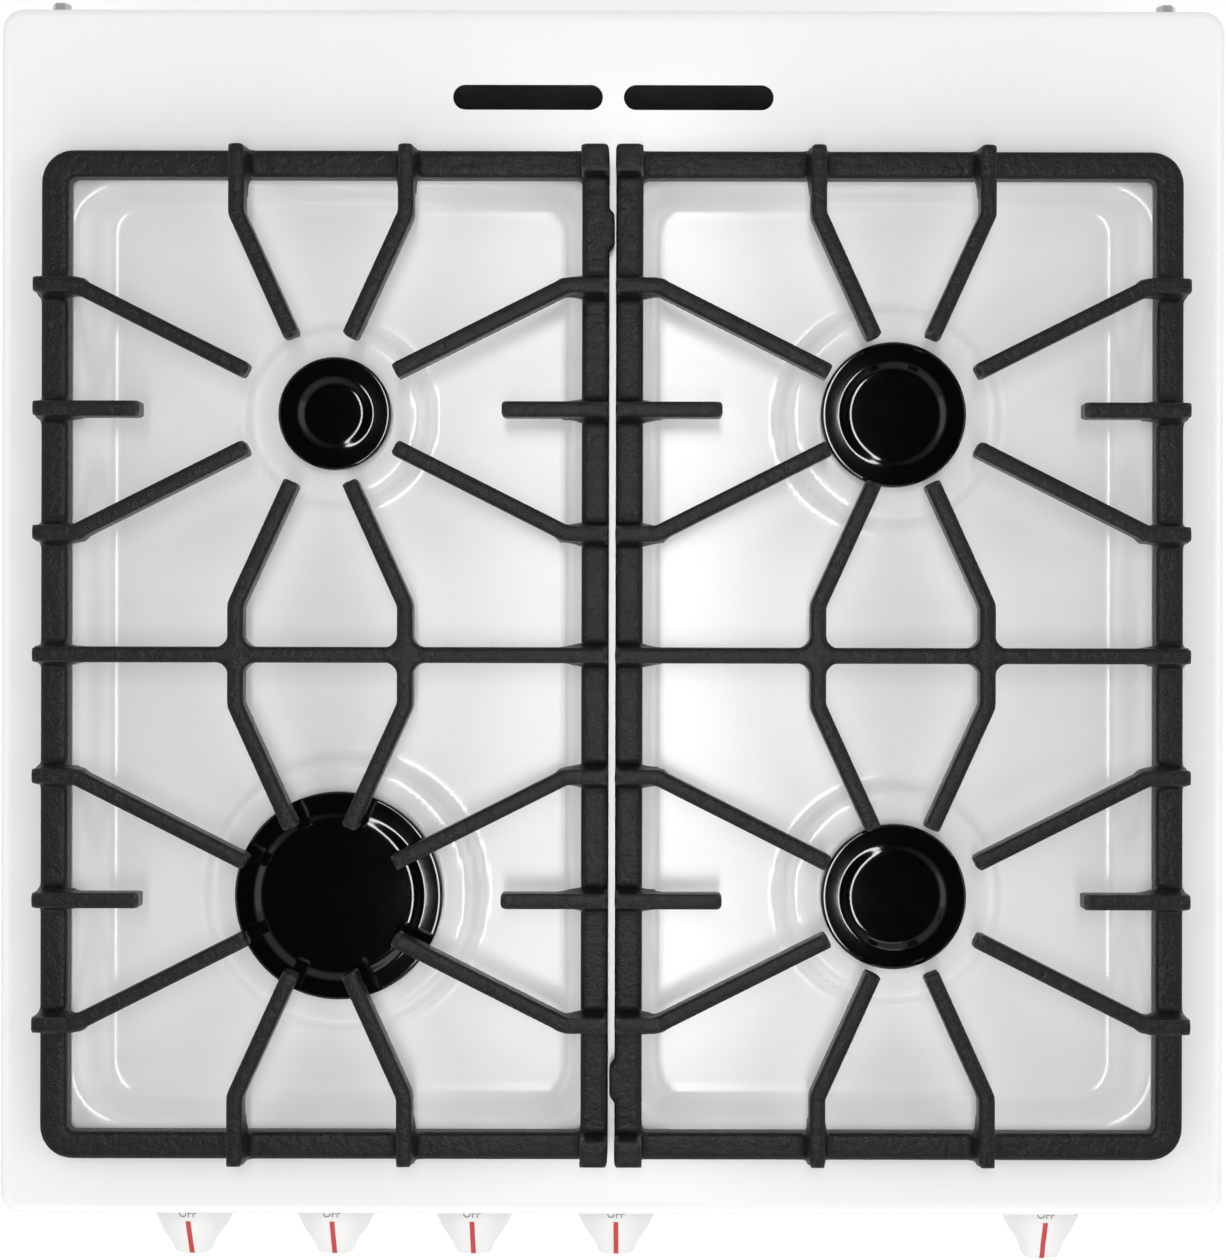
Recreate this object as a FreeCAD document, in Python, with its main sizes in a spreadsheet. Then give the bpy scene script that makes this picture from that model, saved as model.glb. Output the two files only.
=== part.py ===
import FreeCAD, Part
import math
import os
import Sketcher
from FreeCAD import Placement, Rotation, Vector

# Freestanding gas range, 24 inch class.  Millimetres, +Z up, front towards -Y, +X to the right.
# The origin is on the floor, under the middle of the whole range.

doc = FreeCAD.newDocument("GasRange")
sheet = doc.addObject("Spreadsheet::Sheet", "Dims")
pieces = []


class Size:
    """A length in millimetres, together with the sheet expression that gives it."""

    def __init__(self, value, text):
        self.value = float(value)
        self.text = text

    @staticmethod
    def of(amount):
        return amount if isinstance(amount, Size) else Size(amount, f"({float(amount)!r})")

    def join(self, sign, other, value):
        return Size(value, f"({self.text} {sign} {other.text})")

    def __add__(self, other):
        other = Size.of(other)
        return self.join("+", other, self.value + other.value)

    def __sub__(self, other):
        other = Size.of(other)
        return self.join("-", other, self.value - other.value)

    def __mul__(self, other):
        other = Size.of(other)
        return self.join("*", other, self.value * other.value)

    def __truediv__(self, other):
        other = Size.of(other)
        return self.join("/", other, self.value / other.value)

    def __radd__(self, other):
        return Size.of(other) + self

    def __rsub__(self, other):
        return Size.of(other) - self

    def __rmul__(self, other):
        return Size.of(other) * self

    def __neg__(self):
        return 0 - self


def longest(one, other):
    """The hypotenuse of two sides."""
    one, other = Size.of(one), Size.of(other)
    return Size(math.hypot(one.value, other.value), f"sqrt({one.text}^2 + {other.text}^2)")


def larger(one, other):
    one, other = Size.of(one), Size.of(other)
    return Size(max(one.value, other.value), f"max({one.text}; {other.text})")


def size(alias, value, note):
    """Write one driving dimension into the sheet and hand it back as a Size."""
    row = size.row = getattr(size, "row", 0) + 1
    sheet.set(f"A{row}", note)
    sheet.set(f"B{row}", str(value))
    sheet.setAlias(f"B{row}", alias)
    sheet.recompute()
    return Size(sheet.get(alias), f"Dims.{alias}")


# ---------------------------------------------------------------- driving dimensions

range_width = size("range_width", 610, "cooktop, side to side")
top_depth = size("top_depth", 601, "cooktop, front to back")
range_height = size("range_height", 914, "floor to cooktop rim")

fit_gap = size("fit_gap", 0.3, "between pieces that are put together")
seat_gap = size("seat_gap", 0.3, "under a loose piece that rests on another")
turn_gap = size("turn_gap", 0.06, "radial clearance of a turning shaft")

top_sheet = size("top_sheet", 1.2, "cooktop steel")
lip_height = size("lip_height", 30, "cooktop skirt")
top_corner = size("top_corner", 11, "cooktop corner radius, seen from above")
rim_round = size("rim_round", 5, "rolled edge of the cooktop")
well_depth = size("well_depth", 12, "rim to well floor")
well_side = size("well_side", 35.5, "cooktop side to the outer rim of a well")
well_slope_x = size("well_slope_x", 20.8, "width of the outer side wall of a well")
well_back_margin = size("well_back_margin", 84.5, "cooktop back to the back rim of the wells")
well_back_slope = size("well_back_slope", 15.4, "width of the back wall of a well")
well_front_margin = size("well_front_margin", 41.5, "cooktop front to the front rim of the wells")
well_front_slope = size("well_front_slope", 20.4, "width of the front wall of a well")
ridge_half = size("ridge_half", 8, "half width of the ridge between the wells")
ridge_slope = size("ridge_slope", 14, "width of the ridge's side wall")
well_corner = size("well_corner", 16, "corner radius of a well")
mound_height = size("mound_height", 6, "raised ring round a burner, above the well floor")
mound_slope = size("mound_slope", 7, "width of the raised ring's side")

left_rear_shift = size("left_rear_shift", 3.8, "grate centre inwards to the left rear burner")
left_front_shift = size("left_front_shift", 6.3, "grate centre inwards to the left front burner")
right_rear_shift = size("right_rear_shift", 2.3, "grate centre inwards to the right rear burner")
right_front_shift = size("right_front_shift", 1.8, "grate centre inwards to the right front burner")
small_cap = size("small_cap", 28, "small burner cap radius")
medium_cap = size("medium_cap", 36, "medium burner cap radius")
large_cap = size("large_cap", 51.5, "large burner cap radius")
small_mound = size("small_mound", 48, "raised ring radius, small burner")
medium_mound = size("medium_mound", 57.5, "raised ring radius, medium burner")
large_mound = size("large_mound", 71, "raised ring radius, large burner")
cap_thick = size("cap_thick", 7.4, "burner cap")
cap_middle = size("cap_middle", 9.5, "cap edge to its raised middle")
cap_step = size("cap_step", 1.2, "raised middle of a cap, height")
cap_edge = size("cap_edge", 1.9, "bevelled edge of a cap")
head_height = size("head_height", 6.3, "burner head above the cooktop")
head_inset = size("head_inset", 7, "burner head smaller than its cap, on the radius")
spigot_radius = size("spigot_radius", 16, "burner head where it passes the cooktop")
spigot_length = size("spigot_length", 8, "burner head below the cooktop")
head_bore = size("head_bore", 8, "gas way through a burner head")
base_radius = size("base_radius", 22, "burner base under the cooktop")
base_height = size("base_height", 20, "burner base")
igniter_radius = size("igniter_radius", 2.3, "igniter")

grate_side = size("grate_side", 23.9, "cooktop side to the grate")
grate_ends = size("grate_ends", 104.6, "cooktop beyond the grates, front and back together")
grate_split = size("grate_split", 3.4, "between the two grates")
grate_shift = size("grate_shift", 21.3, "cooktop centre forward to the grate centre")
rail_width = size("rail_width", 13.4, "grate rail")
rail_height = size("rail_height", 12, "grate rail")
grate_round = size("grate_round", 16, "outer corner radius of a grate")
finger_width = size("finger_width", 7.8, "grate finger")
finger_depth = size("finger_depth", 14, "grate finger, top to underside")
finger_top = size("finger_top", 33, "cooktop rim to the top of the fingers")
pattern_inset = size("pattern_inset", 4.75, "quarter of the grate to the middle of a finger pattern")
end_finger_x = size("end_finger_x", 41.1, "pattern centre to the end fingers")
end_run = size("end_run", 34, "grate end to the bend of an end finger")
end_tip_x = size("end_tip_x", 13.9, "pattern centre to the tip of an end finger, across")
end_tip_y = size("end_tip_y", 35.1, "pattern centre to the tip of an end finger, along")
side_finger_y = size("side_finger_y", 60.3, "pattern centre to the side fingers")
side_run = size("side_run", 20.3, "grate side to the bend of a side finger")
side_tip_x = size("side_tip_x", 35.8, "pattern centre to the tip of a side finger, across")
side_tip_y = size("side_tip_y", 18.3, "pattern centre to the tip of a side finger, along")
mid_length = size("mid_length", 52, "grate side to the tip of a middle finger")
nub_inset = size("nub_inset", 38.3, "grate end to the locating nub")
nub_length = size("nub_length", 21, "locating nub")
nub_slope = size("nub_slope", 3, "sloping end of a locating nub")
nub_reach = size("nub_reach", 2.7, "locating nub out from the grate")
foot_height = size("foot_height", 3, "grate foot")
foot_radius = size("foot_radius", 5, "grate foot")
foot_inset = size("foot_inset", 6.2, "grate edge to the middle of a foot")

vent_x = size("vent_x", 42.5, "centre line to the middle of a vent slot")
vent_margin = size("vent_margin", 44.3, "cooktop back to the vent slots")
vent_length = size("vent_length", 74.5, "vent slot")
vent_width = size("vent_width", 12.5, "vent slot")
duct_wall = size("duct_wall", 1, "vent duct steel")
duct_depth = size("duct_depth", 30, "vent duct, front to back")
duct_side = size("duct_side", 5, "vent duct beyond the slots, each side")
duct_drop = size("duct_drop", 8, "vent duct below the flue opening")
flue_half = size("flue_half", 60, "half width of the flue opening")
flue_height = size("flue_height", 30, "flue opening")
flue_drop = size("flue_drop", 20, "oven roof down to the flue opening")

screw_inset = size("screw_inset", 27.2, "cooktop side to a rear screw")
screw_drop = size("screw_drop", 14, "rim down to a rear screw")
screw_head = size("screw_head", 5, "rear screw head, thickness")
screw_head_radius = size("screw_head_radius", 6.7, "rear screw head")
screw_shank = size("screw_shank", 2.5, "rear screw shank radius")
screw_length = size("screw_length", 9, "rear screw shank")

foot_disc = size("foot_disc", 15, "levelling leg, foot radius")
foot_disc_thick = size("foot_disc_thick", 8, "levelling leg, foot")
leg_stem = size("leg_stem", 5, "levelling leg, stem radius")
leg_height = size("leg_height", 25, "floor to the base frame")
leg_reach = size("leg_reach", 12, "stem above the base frame's floor")
base_rail = size("base_rail", 32, "base frame rail, flat width")
base_upstand = size("base_upstand", 25, "base frame rail, height")
base_steel = size("base_steel", 1.5, "base frame steel")

side_step = size("side_step", 3, "cooktop beyond the side panels")
back_step = size("back_step", 10, "cooktop beyond the back of the side panels")
panel_steel = size("panel_steel", 1, "side and back panel steel")
panel_flange = size("panel_flange", 18, "side panel flange")
panel_tuck = size("panel_tuck", 12, "side panel up inside the cooktop skirt")
louvre_length = size("louvre_length", 60, "back panel louvre")
louvre_height = size("louvre_height", 5, "back panel louvre")
louvre_pitch = size("louvre_pitch", 18, "back panel louvre to louvre")
louvre_rows = 6

face_setback = size("face_setback", 3.5, "cooktop edge to the front faces")
door_thick = size("door_thick", 40, "oven door")
door_gap = size("door_gap", 5, "oven door to the body")
door_inset = size("door_inset", 2, "side panels beyond the door, drawer and control panel")
door_steel = size("door_steel", 1.2, "door, drawer and control panel steel")
door_sill = size("door_sill", 78, "door bottom to the oven floor")
door_head = size("door_head", 92, "oven roof to the door top")
hinge_depth = size("hinge_depth", 14, "door face to the hinge pin")
hinge_rise = size("hinge_rise", 8, "door bottom to the hinge pin")
hinge_clear = size("hinge_clear", 2, "swinging door bottom to the drawer front")
hinge_inset = size("hinge_inset", 38, "door side to a hinge")
hinge_arm = size("hinge_arm", 12, "hinge bracket, thickness")
hinge_arm_half = size("hinge_arm_half", 6.5, "hinge bracket, half height")
hinge_pin = size("hinge_pin", 4, "hinge pin radius")
hinge_plate = size("hinge_plate", 2, "hinge plate steel")
window_side = size("window_side", 95, "door side to the window")
window_head = size("window_head", 190, "door top to the window")
window_sill = size("window_sill", 170, "door bottom to the window")
glass_thick = size("glass_thick", 3, "door glass")
glass_lap = size("glass_lap", 12, "door glass beyond its window")
inner_window_step = size("inner_window_step", 15, "inner window smaller than the outer one")
handle_radius = size("handle_radius", 9, "door handle bar radius")
handle_gap = size("handle_gap", 25, "finger gap behind the handle")
handle_inset = size("handle_inset", 55, "door side to the end of the handle bar")
handle_drop = size("handle_drop", 45, "door top to the handle")
post_inset = size("post_inset", 25, "handle bar end to a post")
post_radius = size("post_radius", 7, "handle post radius")

control_height = size("control_height", 92, "control panel")
control_gap = size("control_gap", 2, "control panel to the cooktop skirt")
control_return = size("control_return", 10, "control panel folded edge")
door_top_gap = size("door_top_gap", 6, "door to the control panel")

drawer_bottom = size("drawer_bottom", 60, "floor to the drawer front")
drawer_height = size("drawer_height", 142, "drawer front")
drawer_thick = size("drawer_thick", 40, "drawer front")
tray_side = size("tray_side", 39, "side panel to the drawer tray")
tray_bottom = size("tray_bottom", 56, "floor to the drawer tray")
tray_room = size("tray_room", 102.5, "behind the drawer tray")
tray_drop = size("tray_drop", 14, "drawer front's top to the tray's edge")
tray_steel = size("tray_steel", 1, "drawer tray steel")
rail_lap = size("rail_lap", 14, "drawer rail under the tray")
rail_guide = size("rail_guide", 10, "drawer rail, height of the guide")
rail_steel = size("rail_steel", 1.5, "drawer rail steel")

oven_side = size("oven_side", 52, "side panel to the oven wrapper")
oven_room = size("oven_room", 76, "behind the oven wrapper")
oven_steel = size("oven_steel", 1.2, "oven steel")
burner_box = size("burner_box", 64, "burner space under the oven floor")
ledge_depth = size("ledge_depth", 8, "rack ledge")
ledge_thick = size("ledge_thick", 4, "rack ledge")
ledge_inset = size("ledge_inset", 14, "rack ledge from the ends of the wrapper")
rack_levels = 5
rack_rod = size("rack_rod", 3, "rack frame rod radius")
rack_wire = size("rack_wire", 2, "rack wire radius")
rack_side = size("rack_side", 3, "oven side wall to the rack")
rack_room = size("rack_room", 50, "in front of an oven rack")
rack_back_gap = size("rack_back_gap", 10, "behind an oven rack")
rack_wires = 15
blanket = size("blanket", 28, "insulation blanket")
blanket_back = size("blanket_back", 19, "insulation blanket behind the oven")
gasket_width = size("gasket_width", 12, "door gasket")
gasket_round = size("gasket_round", 14, "door gasket corner radius")
tube_radius = size("tube_radius", 17, "oven burner tube radius")
tube_wall = size("tube_wall", 1.5, "oven burner tube wall")
tube_room = size("tube_room", 42, "oven burner tube to the ends of the wrapper")
port_radius = size("port_radius", 2.2, "oven burner port radius")
port_end = size("port_end", 34, "oven burner tube's end to its first port")
ports = 14
floor_slots = 7

knob_drop = size("knob_drop", 60, "rim down to the knobs")
knob_left = size("knob_left", 87, "cooktop side to the first burner knob")
knob_second = size("knob_second", 74, "first burner knob to the second")
knob_third = size("knob_third", 146, "first burner knob to the third")
knob_fourth = size("knob_fourth", 220, "first burner knob to the fourth")
knob_right = size("knob_right", 82, "cooktop side to the oven knob")
knob_radius = size("knob_radius", 22.5, "knob skirt radius")
knob_skirt = size("knob_skirt", 5, "knob skirt, thickness")
knob_shoulder = size("knob_shoulder", 2.3, "knob skirt narrowing to its shoulder, on the radius")
knob_shoulder_depth = size("knob_shoulder_depth", 12, "knob back to its shoulder")
knob_waist = size("knob_waist", 10.6, "knob skirt narrowing to its waist, on the radius")
knob_waist_depth = size("knob_waist_depth", 25.5, "knob back to its waist")
knob_flare = size("knob_flare", 28, "knob back to the end of its flare")
knob_length = size("knob_length", 32, "burner knob, back to tip")
oven_knob_length = size("oven_knob_length", 33.8, "oven knob, back to tip")
grip_half = size("grip_half", 9.8, "half width of the grip")
grip_tall = size("grip_tall", 20, "half height of the grip where it leaves the flare")
grip_crest = size("grip_crest", 8, "half height of the grip at its front")
grip_slope = size("grip_slope", 13, "knob back to the foot of the grip's sloping ends")
grip_round = size("grip_round", 3, "grip edges")
knob_air = size("knob_air", 4, "control panel to a knob")
stem_radius = size("stem_radius", 4, "valve stem radius")
stem_depth = size("stem_depth", 16, "valve stem inside a knob")
push_room = size("push_room", 4, "room at a stem's end for the push")
rotor_radius = size("rotor_radius", 7, "valve rotor radius")
rotor_length = size("rotor_length", 14, "valve rotor")
valve_radius = size("valve_radius", 12, "burner valve radius")
thermostat_radius = size("thermostat_radius", 19, "thermostat radius")
valve_air = size("valve_air", 6, "control panel steel to a valve")
valve_wall = size("valve_wall", 4, "valve wall at each end")
manifold_back = size("manifold_back", 52, "front faces to the manifold's centre")
manifold_radius = size("manifold_radius", 10.5, "manifold pipe radius")
manifold_bore = size("manifold_bore", 8, "manifold pipe bore radius")
manifold_inset = size("manifold_inset", 40, "side panel to the end of the manifold")
manifold_bend = size("manifold_bend", 32, "manifold bend radius")
regulator_radius = size("regulator_radius", 26, "pressure regulator radius")
regulator_height = size("regulator_height", 40, "pressure regulator")
inlet_radius = size("inlet_radius", 15, "gas inlet boss radius")
inlet_bore = size("inlet_bore", 10.4, "gas inlet thread radius")
inlet_depth = size("inlet_depth", 16, "gas inlet thread, length")
supply_radius = size("supply_radius", 4, "burner supply tube radius")
supply_rise = size("supply_rise", 14, "valve top to the supply tubes")
supply_bend = size("supply_bend", 9, "supply tube bend radius")
lane_left_gap = size("lane_left_gap", 37.5, "left front burner inwards to the left rear supply tube")
lane_right_gap = size("lane_right_gap", 56, "right front burner inwards to the right rear supply tube")
spark_width = size("spark_width", 70, "spark module")
spark_depth = size("spark_depth", 28, "spark module")
spark_height = size("spark_height", 45, "spark module")
spark_x = size("spark_x", 185, "centre line to the spark module")

# ---------------------------------------------------------------- places worked out from them

knob_reach = top_depth / 2 - face_setback + knob_air + larger(knob_length, oven_knob_length)
handle_reach = top_depth / 2 - face_setback + handle_gap + 2 * handle_radius
front_reach = larger(handle_reach, knob_reach)
rear_reach = top_depth / 2 + screw_head
top_y = (front_reach - rear_reach) / 2

half_width = range_width / 2
half_depth = top_depth / 2
top_front = top_y - half_depth
top_back = top_y + half_depth
rim = range_height
lip = rim - lip_height
well_floor = rim - well_depth
mound_top = well_floor + mound_height
well_rim_x = half_width - well_side
well_back = half_depth - well_back_margin
well_front = half_depth - well_front_margin
screw_x = half_width - screw_inset

side_x = half_width - side_step
inside_x = side_x - panel_steel - fit_gap
face = top_front + face_setback
body_front = face + door_thick + door_gap
body_back = top_back - back_step
base_top = leg_height + base_upstand

rail_x = (half_width - grate_side - grate_split / 2) / 2
rail_y = (top_depth - grate_ends) / 2
grate_x = rail_x + grate_split / 2
grate_y = top_y - grate_shift
burner_pitch = rail_y / 2 - pattern_inset
end_knee = rail_y - burner_pitch - end_run
side_knee = rail_x - side_run
mid_tip = rail_x - mid_length
nub_place = rail_y - nub_inset

door_half = side_x - door_inset
hinge_x = door_half - hinge_inset
drawer_top = drawer_bottom + drawer_height
pin_z = drawer_top + hinge_clear + longest(hinge_depth, hinge_rise)
pin_y = face + hinge_depth
door_bottom = pin_z - hinge_rise
control_top = lip - control_gap
control_bottom = control_top - control_height
door_top = control_bottom - door_top_gap
door_back = face + door_thick
handle_y = face - handle_gap - handle_radius
handle_z = door_top - handle_drop
handle_half = door_half - handle_inset
post_x = handle_half - post_inset

oven_floor = door_bottom + door_sill
oven_roof = door_top - door_head
frame_front = body_front + panel_steel + fit_gap
frame_back = frame_front + oven_steel
oven_back = body_back - oven_room
oven_half = side_x - oven_side
oven_inner = oven_half - oven_steel
oven_bottom = oven_floor - burner_box
rack_pitch = (oven_roof - oven_floor) / (rack_levels + 1)

knob_z = rim - knob_drop
knob_back = face - knob_air
manifold_y = face + manifold_back
valve_front = face + door_steel + valve_air
valve_back = manifold_y - manifold_radius - fit_gap
manifold_end = side_x - manifold_inset
supply_z = knob_z + valve_radius + supply_rise
vent_y = top_back - vent_margin

burners = {
    "left_rear": (left_rear_shift - grate_x, grate_y + burner_pitch, small_cap, small_mound),
    "left_front": (left_front_shift - grate_x, grate_y - burner_pitch, large_cap, large_mound),
    "right_rear": (grate_x - right_rear_shift, grate_y + burner_pitch, medium_cap, medium_mound),
    "right_front": (grate_x - right_front_shift, grate_y - burner_pitch, medium_cap, medium_mound),
}
first_knob = knob_left - half_width
oven_knob = half_width - knob_right
burner_knobs = {
    "left_front": first_knob,
    "left_rear": first_knob + knob_second,
    "right_rear": first_knob + knob_third,
    "right_front": first_knob + knob_fourth,
}
knobs = {**burner_knobs, "oven": oven_knob}


# ---------------------------------------------------------------- ways of making a solid

def bind(item, path, amount):
    """Tie one property of an object to the sheet."""
    item.setExpression(path, Size.of(amount).text)


def move_to(item, place):
    for axis, amount in zip("xyz", place):
        bind(item, f"Placement.Base.{axis}", amount)


def block(name, low, high):
    """A box between its lowest and highest corners."""
    box = doc.addObject("Part::Box", name)
    for path, start, end in zip(("Length", "Width", "Height"), low, high):
        bind(box, path, end - start)
    move_to(box, low)
    return box


def rod(name, axis, start, length, radius):
    """A round bar that runs from a point along one axis."""
    turns = {
        "x": Rotation(Vector(0, 1, 0), 90),
        "y": Rotation(Vector(1, 0, 0), -90),
        "z": Rotation(),
    }
    bar = doc.addObject("Part::Cylinder", name)
    bar.Placement = Placement(Vector(), turns[axis])
    bind(bar, "Height", length)
    bind(bar, "Radius", radius)
    move_to(bar, start)
    return bar


def fuse(name, shapes):
    joined = doc.addObject("Part::MultiFuse", name)
    joined.Shapes = shapes
    joined.Refine = True
    return joined


def cut(name, base, tools):
    left = doc.addObject("Part::Cut", name)
    left.Base = base
    left.Tool = tools[0] if len(tools) == 1 else fuse(f"{name}_tools", tools)
    return left


def gather(name, shapes):
    """Separate solids of one kind, kept together as one sub-part."""
    together = doc.addObject("Part::Compound", name)
    together.Links = shapes
    return together


def keep(item, label):
    """Name a finished sub-part."""
    item.Label = label
    pieces.append(item)


def start_body(name, place=(0, 0, 0), turn=Rotation()):
    body = doc.addObject("PartDesign::Body", name)
    body.Placement = Placement(Vector(), turn)
    move_to(body, place)
    return body


def draw(body, role, loops, offset=0.0, rings=()):
    """A sketch on one of a body's own planes: closed outlines of points, and circles."""
    plane = next(item for item in body.Origin.OriginFeatures if item.Role == role)
    sketch = body.newObject("Sketcher::SketchObject", f"{body.Name}_sketch")
    sketch.AttachmentSupport = [(plane, "")]
    sketch.MapMode = "FlatFace"
    bind(sketch, "AttachmentOffset.Base.z", offset)
    for loop in loops:
        draw_outline(sketch, [(Size.of(x), Size.of(y)) for x, y in loop])
    for x, y, radius in rings:
        draw_ring(sketch, Size.of(x), Size.of(y), Size.of(radius))
    return sketch


def fix_point(sketch, line, point, x, y):
    for kind, amount in (("DistanceX", x), ("DistanceY", y)):
        number = sketch.addConstraint(Sketcher.Constraint(kind, -1, 1, line, point, amount.value))
        sketch.setExpression(f"Constraints[{number}]", amount.text)


def draw_outline(sketch, points):
    first = sketch.GeometryCount
    for (ax, ay), (bx, by) in zip(points, points[1:] + points[:1]):
        start = Vector(ax.value, ay.value, 0)
        end = Vector(bx.value, by.value, 0)
        sketch.addGeometry(Part.LineSegment(start, end), False)
    for step in range(len(points)):
        following = first + (step + 1) % len(points)
        sketch.addConstraint(Sketcher.Constraint("Coincident", first + step, 2, following, 1))
    for line, (x, y) in enumerate(points, first):
        fix_point(sketch, line, 1, x, y)


def draw_ring(sketch, x, y, radius):
    centre = Vector(x.value, y.value, 0)
    ring = sketch.addGeometry(Part.Circle(centre, Vector(0, 0, 1), radius.value), False)
    fix_point(sketch, ring, 3, x, y)
    number = sketch.addConstraint(Sketcher.Constraint("Radius", ring, radius.value))
    sketch.setExpression(f"Constraints[{number}]", radius.text)


def rectangle(x0, y0, x1, y1):
    return [(x0, y0), (x1, y0), (x1, y1), (x0, y1)]


def pad(body, sketch, length, kind="PartDesign::Pad"):
    feature = body.newObject(kind, f"{body.Name}_pad")
    feature.Profile = sketch
    bind(feature, "Length", length)
    return feature


def pocket(body, sketch, length):
    """Cut along the sketch's normal, into the solid that lies that way."""
    feature = pad(body, sketch, length, "PartDesign::Pocket")
    feature.Reversed = True
    return feature


def loft(body, kind, lower, upper):
    feature = body.newObject(kind, f"{body.Name}_loft")
    feature.Profile = lower
    feature.Sections = [upper]
    return feature


def spin(body, sketch):
    """Turn a profile, drawn on the XZ plane, once round the body's Z axis."""
    feature = body.newObject("PartDesign::Revolution", f"{body.Name}_turned")
    feature.Profile = sketch
    feature.ReferenceAxis = (sketch, ["V_Axis"])
    feature.Angle = 360
    return feature


def round_edges(body, radius, chosen):
    """Round the edges of the body so far that a test on an edge chooses."""
    doc.recompute()
    base = body.Tip
    names = [f"Edge{i}" for i, edge in enumerate(base.Shape.Edges, 1) if chosen(edge)]
    feature = body.newObject("PartDesign::Fillet", f"{body.Name}_round")
    feature.Base = (base, names)
    bind(feature, "Radius", radius)
    return feature


def upright(edge):
    """True for a straight edge that runs along Z."""
    box = edge.BoundBox
    return box.XLength < 0.01 and box.YLength < 0.01


def level_at(height):
    """A test for edges that lie flat at one height."""
    def test(edge):
        box = edge.BoundBox
        return abs(box.ZMin - height) < 0.01 and abs(box.ZMax - height) < 0.01
    return test


# ---------------------------------------------------------------- base, legs and body panels

leg_places = [(sign * (inside_x - base_rail / 2), y)
              for sign in (-1, 1)
              for y in (frame_front + base_rail / 2, body_back - base_rail)]
base_back = body_back - panel_steel - fit_gap


def make_legs():
    """Four screwed feet: a disc on the floor and a stem up through the base frame."""
    legs = []
    for place in leg_places:
        disc = rod("leg_disc", "z", (*place, 0), foot_disc_thick, foot_disc)
        stem = rod("leg_screw", "z", (*place, foot_disc_thick),
                   leg_height - foot_disc_thick + leg_reach, leg_stem)
        legs.append(fuse("leg", [disc, stem]))
    keep(gather("legs", legs), "leveling_legs")


def make_base_frame():
    """A folded rectangular frame of L section, with a hole for each leg."""
    low = (-inside_x, frame_front, leg_height)
    high = (inside_x, base_back, base_top)
    whole = block("base_whole", low, high)
    above = block("base_above",
                  (low[0] + base_steel, low[1] + base_steel, leg_height + base_steel),
                  (high[0] - base_steel, high[1] - base_steel, base_top + 1))
    middle = block("base_middle",
                   (low[0] + base_rail, low[1] + base_rail, leg_height - 1),
                   (high[0] - base_rail, high[1] - base_rail, base_top + 1))
    holes = [rod("base_hole", "z", (*place, leg_height - 1), base_steel + 2, leg_stem + fit_gap)
             for place in leg_places]
    keep(cut("base", whole, [above, middle] + holes), "base_frame")


def make_side_panel(label, sign):
    """A steel side with its front and rear edges folded inwards."""
    body = start_body(label)
    outer, inner, lap = sign * side_x, sign * (side_x - panel_steel), sign * (side_x - panel_flange)
    sketch = draw(body, "XY_Plane", [[
        (outer, body_front), (lap, body_front), (lap, body_front + panel_steel),
        (inner, body_front + panel_steel), (inner, body_back - panel_steel),
        (lap, body_back - panel_steel), (lap, body_back), (outer, body_back),
    ]], leg_height)
    pad(body, sketch, lip + panel_tuck - leg_height)
    keep(body, label)


def make_back_panel():
    """The rear sheet, with two stacks of louvre slots and the gas inlet's hole."""
    back = base_back
    front = back - panel_steel
    plate = block("back_plate", (-inside_x, front, base_top + fit_gap),
                  (inside_x, back, lip + panel_tuck))
    slots = []
    for sign in (-1, 1):
        middle = sign * half_width / 2
        for row in range(louvre_rows):
            low = oven_bottom - (row + 2) * louvre_pitch
            slots.append(block("louvre", (middle - louvre_length / 2, front - 1, low),
                               (middle + louvre_length / 2, back + 1, low + louvre_height)))
    inlet = rod("inlet_hole", "y", (manifold_end, front - 1, knob_z), panel_steel + 2,
                inlet_radius + 1)
    keep(cut("back", plate, slots + [inlet]), "back_panel")


def make_control_panel():
    """A folded front panel: deep ends and sill, a short top edge, and a hole for each knob's stem."""
    deep = body_front - fit_gap
    outer = block("control_outer", (-door_half, face, control_bottom), (door_half, deep, control_top))
    inside = block("control_inside",
                   (-door_half + door_steel, face + door_steel, control_bottom + door_steel),
                   (door_half - door_steel, deep + 1, control_top - door_steel))
    roof = block("control_roof",
                 (-door_half + door_steel, face + control_return, control_top - 2 * door_steel),
                 (door_half - door_steel, deep + 1, control_top + 1))
    holes = [rod("control_hole", "y", (x, face - 1, knob_z), door_steel + 2, stem_radius + 2)
             for x in knobs.values()]
    keep(cut("control", outer, [inside, roof] + holes), "control_panel")


make_legs()
make_base_frame()
make_side_panel("side_panel_left", -1)
make_side_panel("side_panel_right", 1)
make_back_panel()
make_control_panel()

# ---------------------------------------------------------------- oven

flue_top = oven_roof - flue_drop
flue_low = flue_top - flue_height


def make_wrapper():
    """The oven's folded box, open at both ends, with pressed ledges for the racks and the floor."""
    outer = block("wrapper_outer", (-oven_half, frame_back, oven_bottom),
                  (oven_half, oven_back, oven_roof + oven_steel))
    inner = block("wrapper_inner", (-oven_inner, frame_back - 1, oven_bottom + oven_steel),
                  (oven_inner, oven_back + 1, oven_roof))
    shell = cut("wrapper_shell", outer, [inner])
    heights = [oven_floor + rack_pitch * level for level in range(1, rack_levels + 1)]
    heights.append(oven_floor - oven_steel)
    ledges = []
    for top in heights:
        for sign in (-1, 1):
            side = sorted((sign * (oven_inner + oven_steel / 2), sign * (oven_inner - ledge_depth)),
                          key=lambda amount: amount.value)
            ledges.append(block("ledge", (side[0], frame_back + ledge_inset, top - ledge_thick),
                                (side[1], oven_back - ledge_inset, top)))
    keep(fuse("wrapper", [shell] + ledges), "oven_wrapper")


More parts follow.
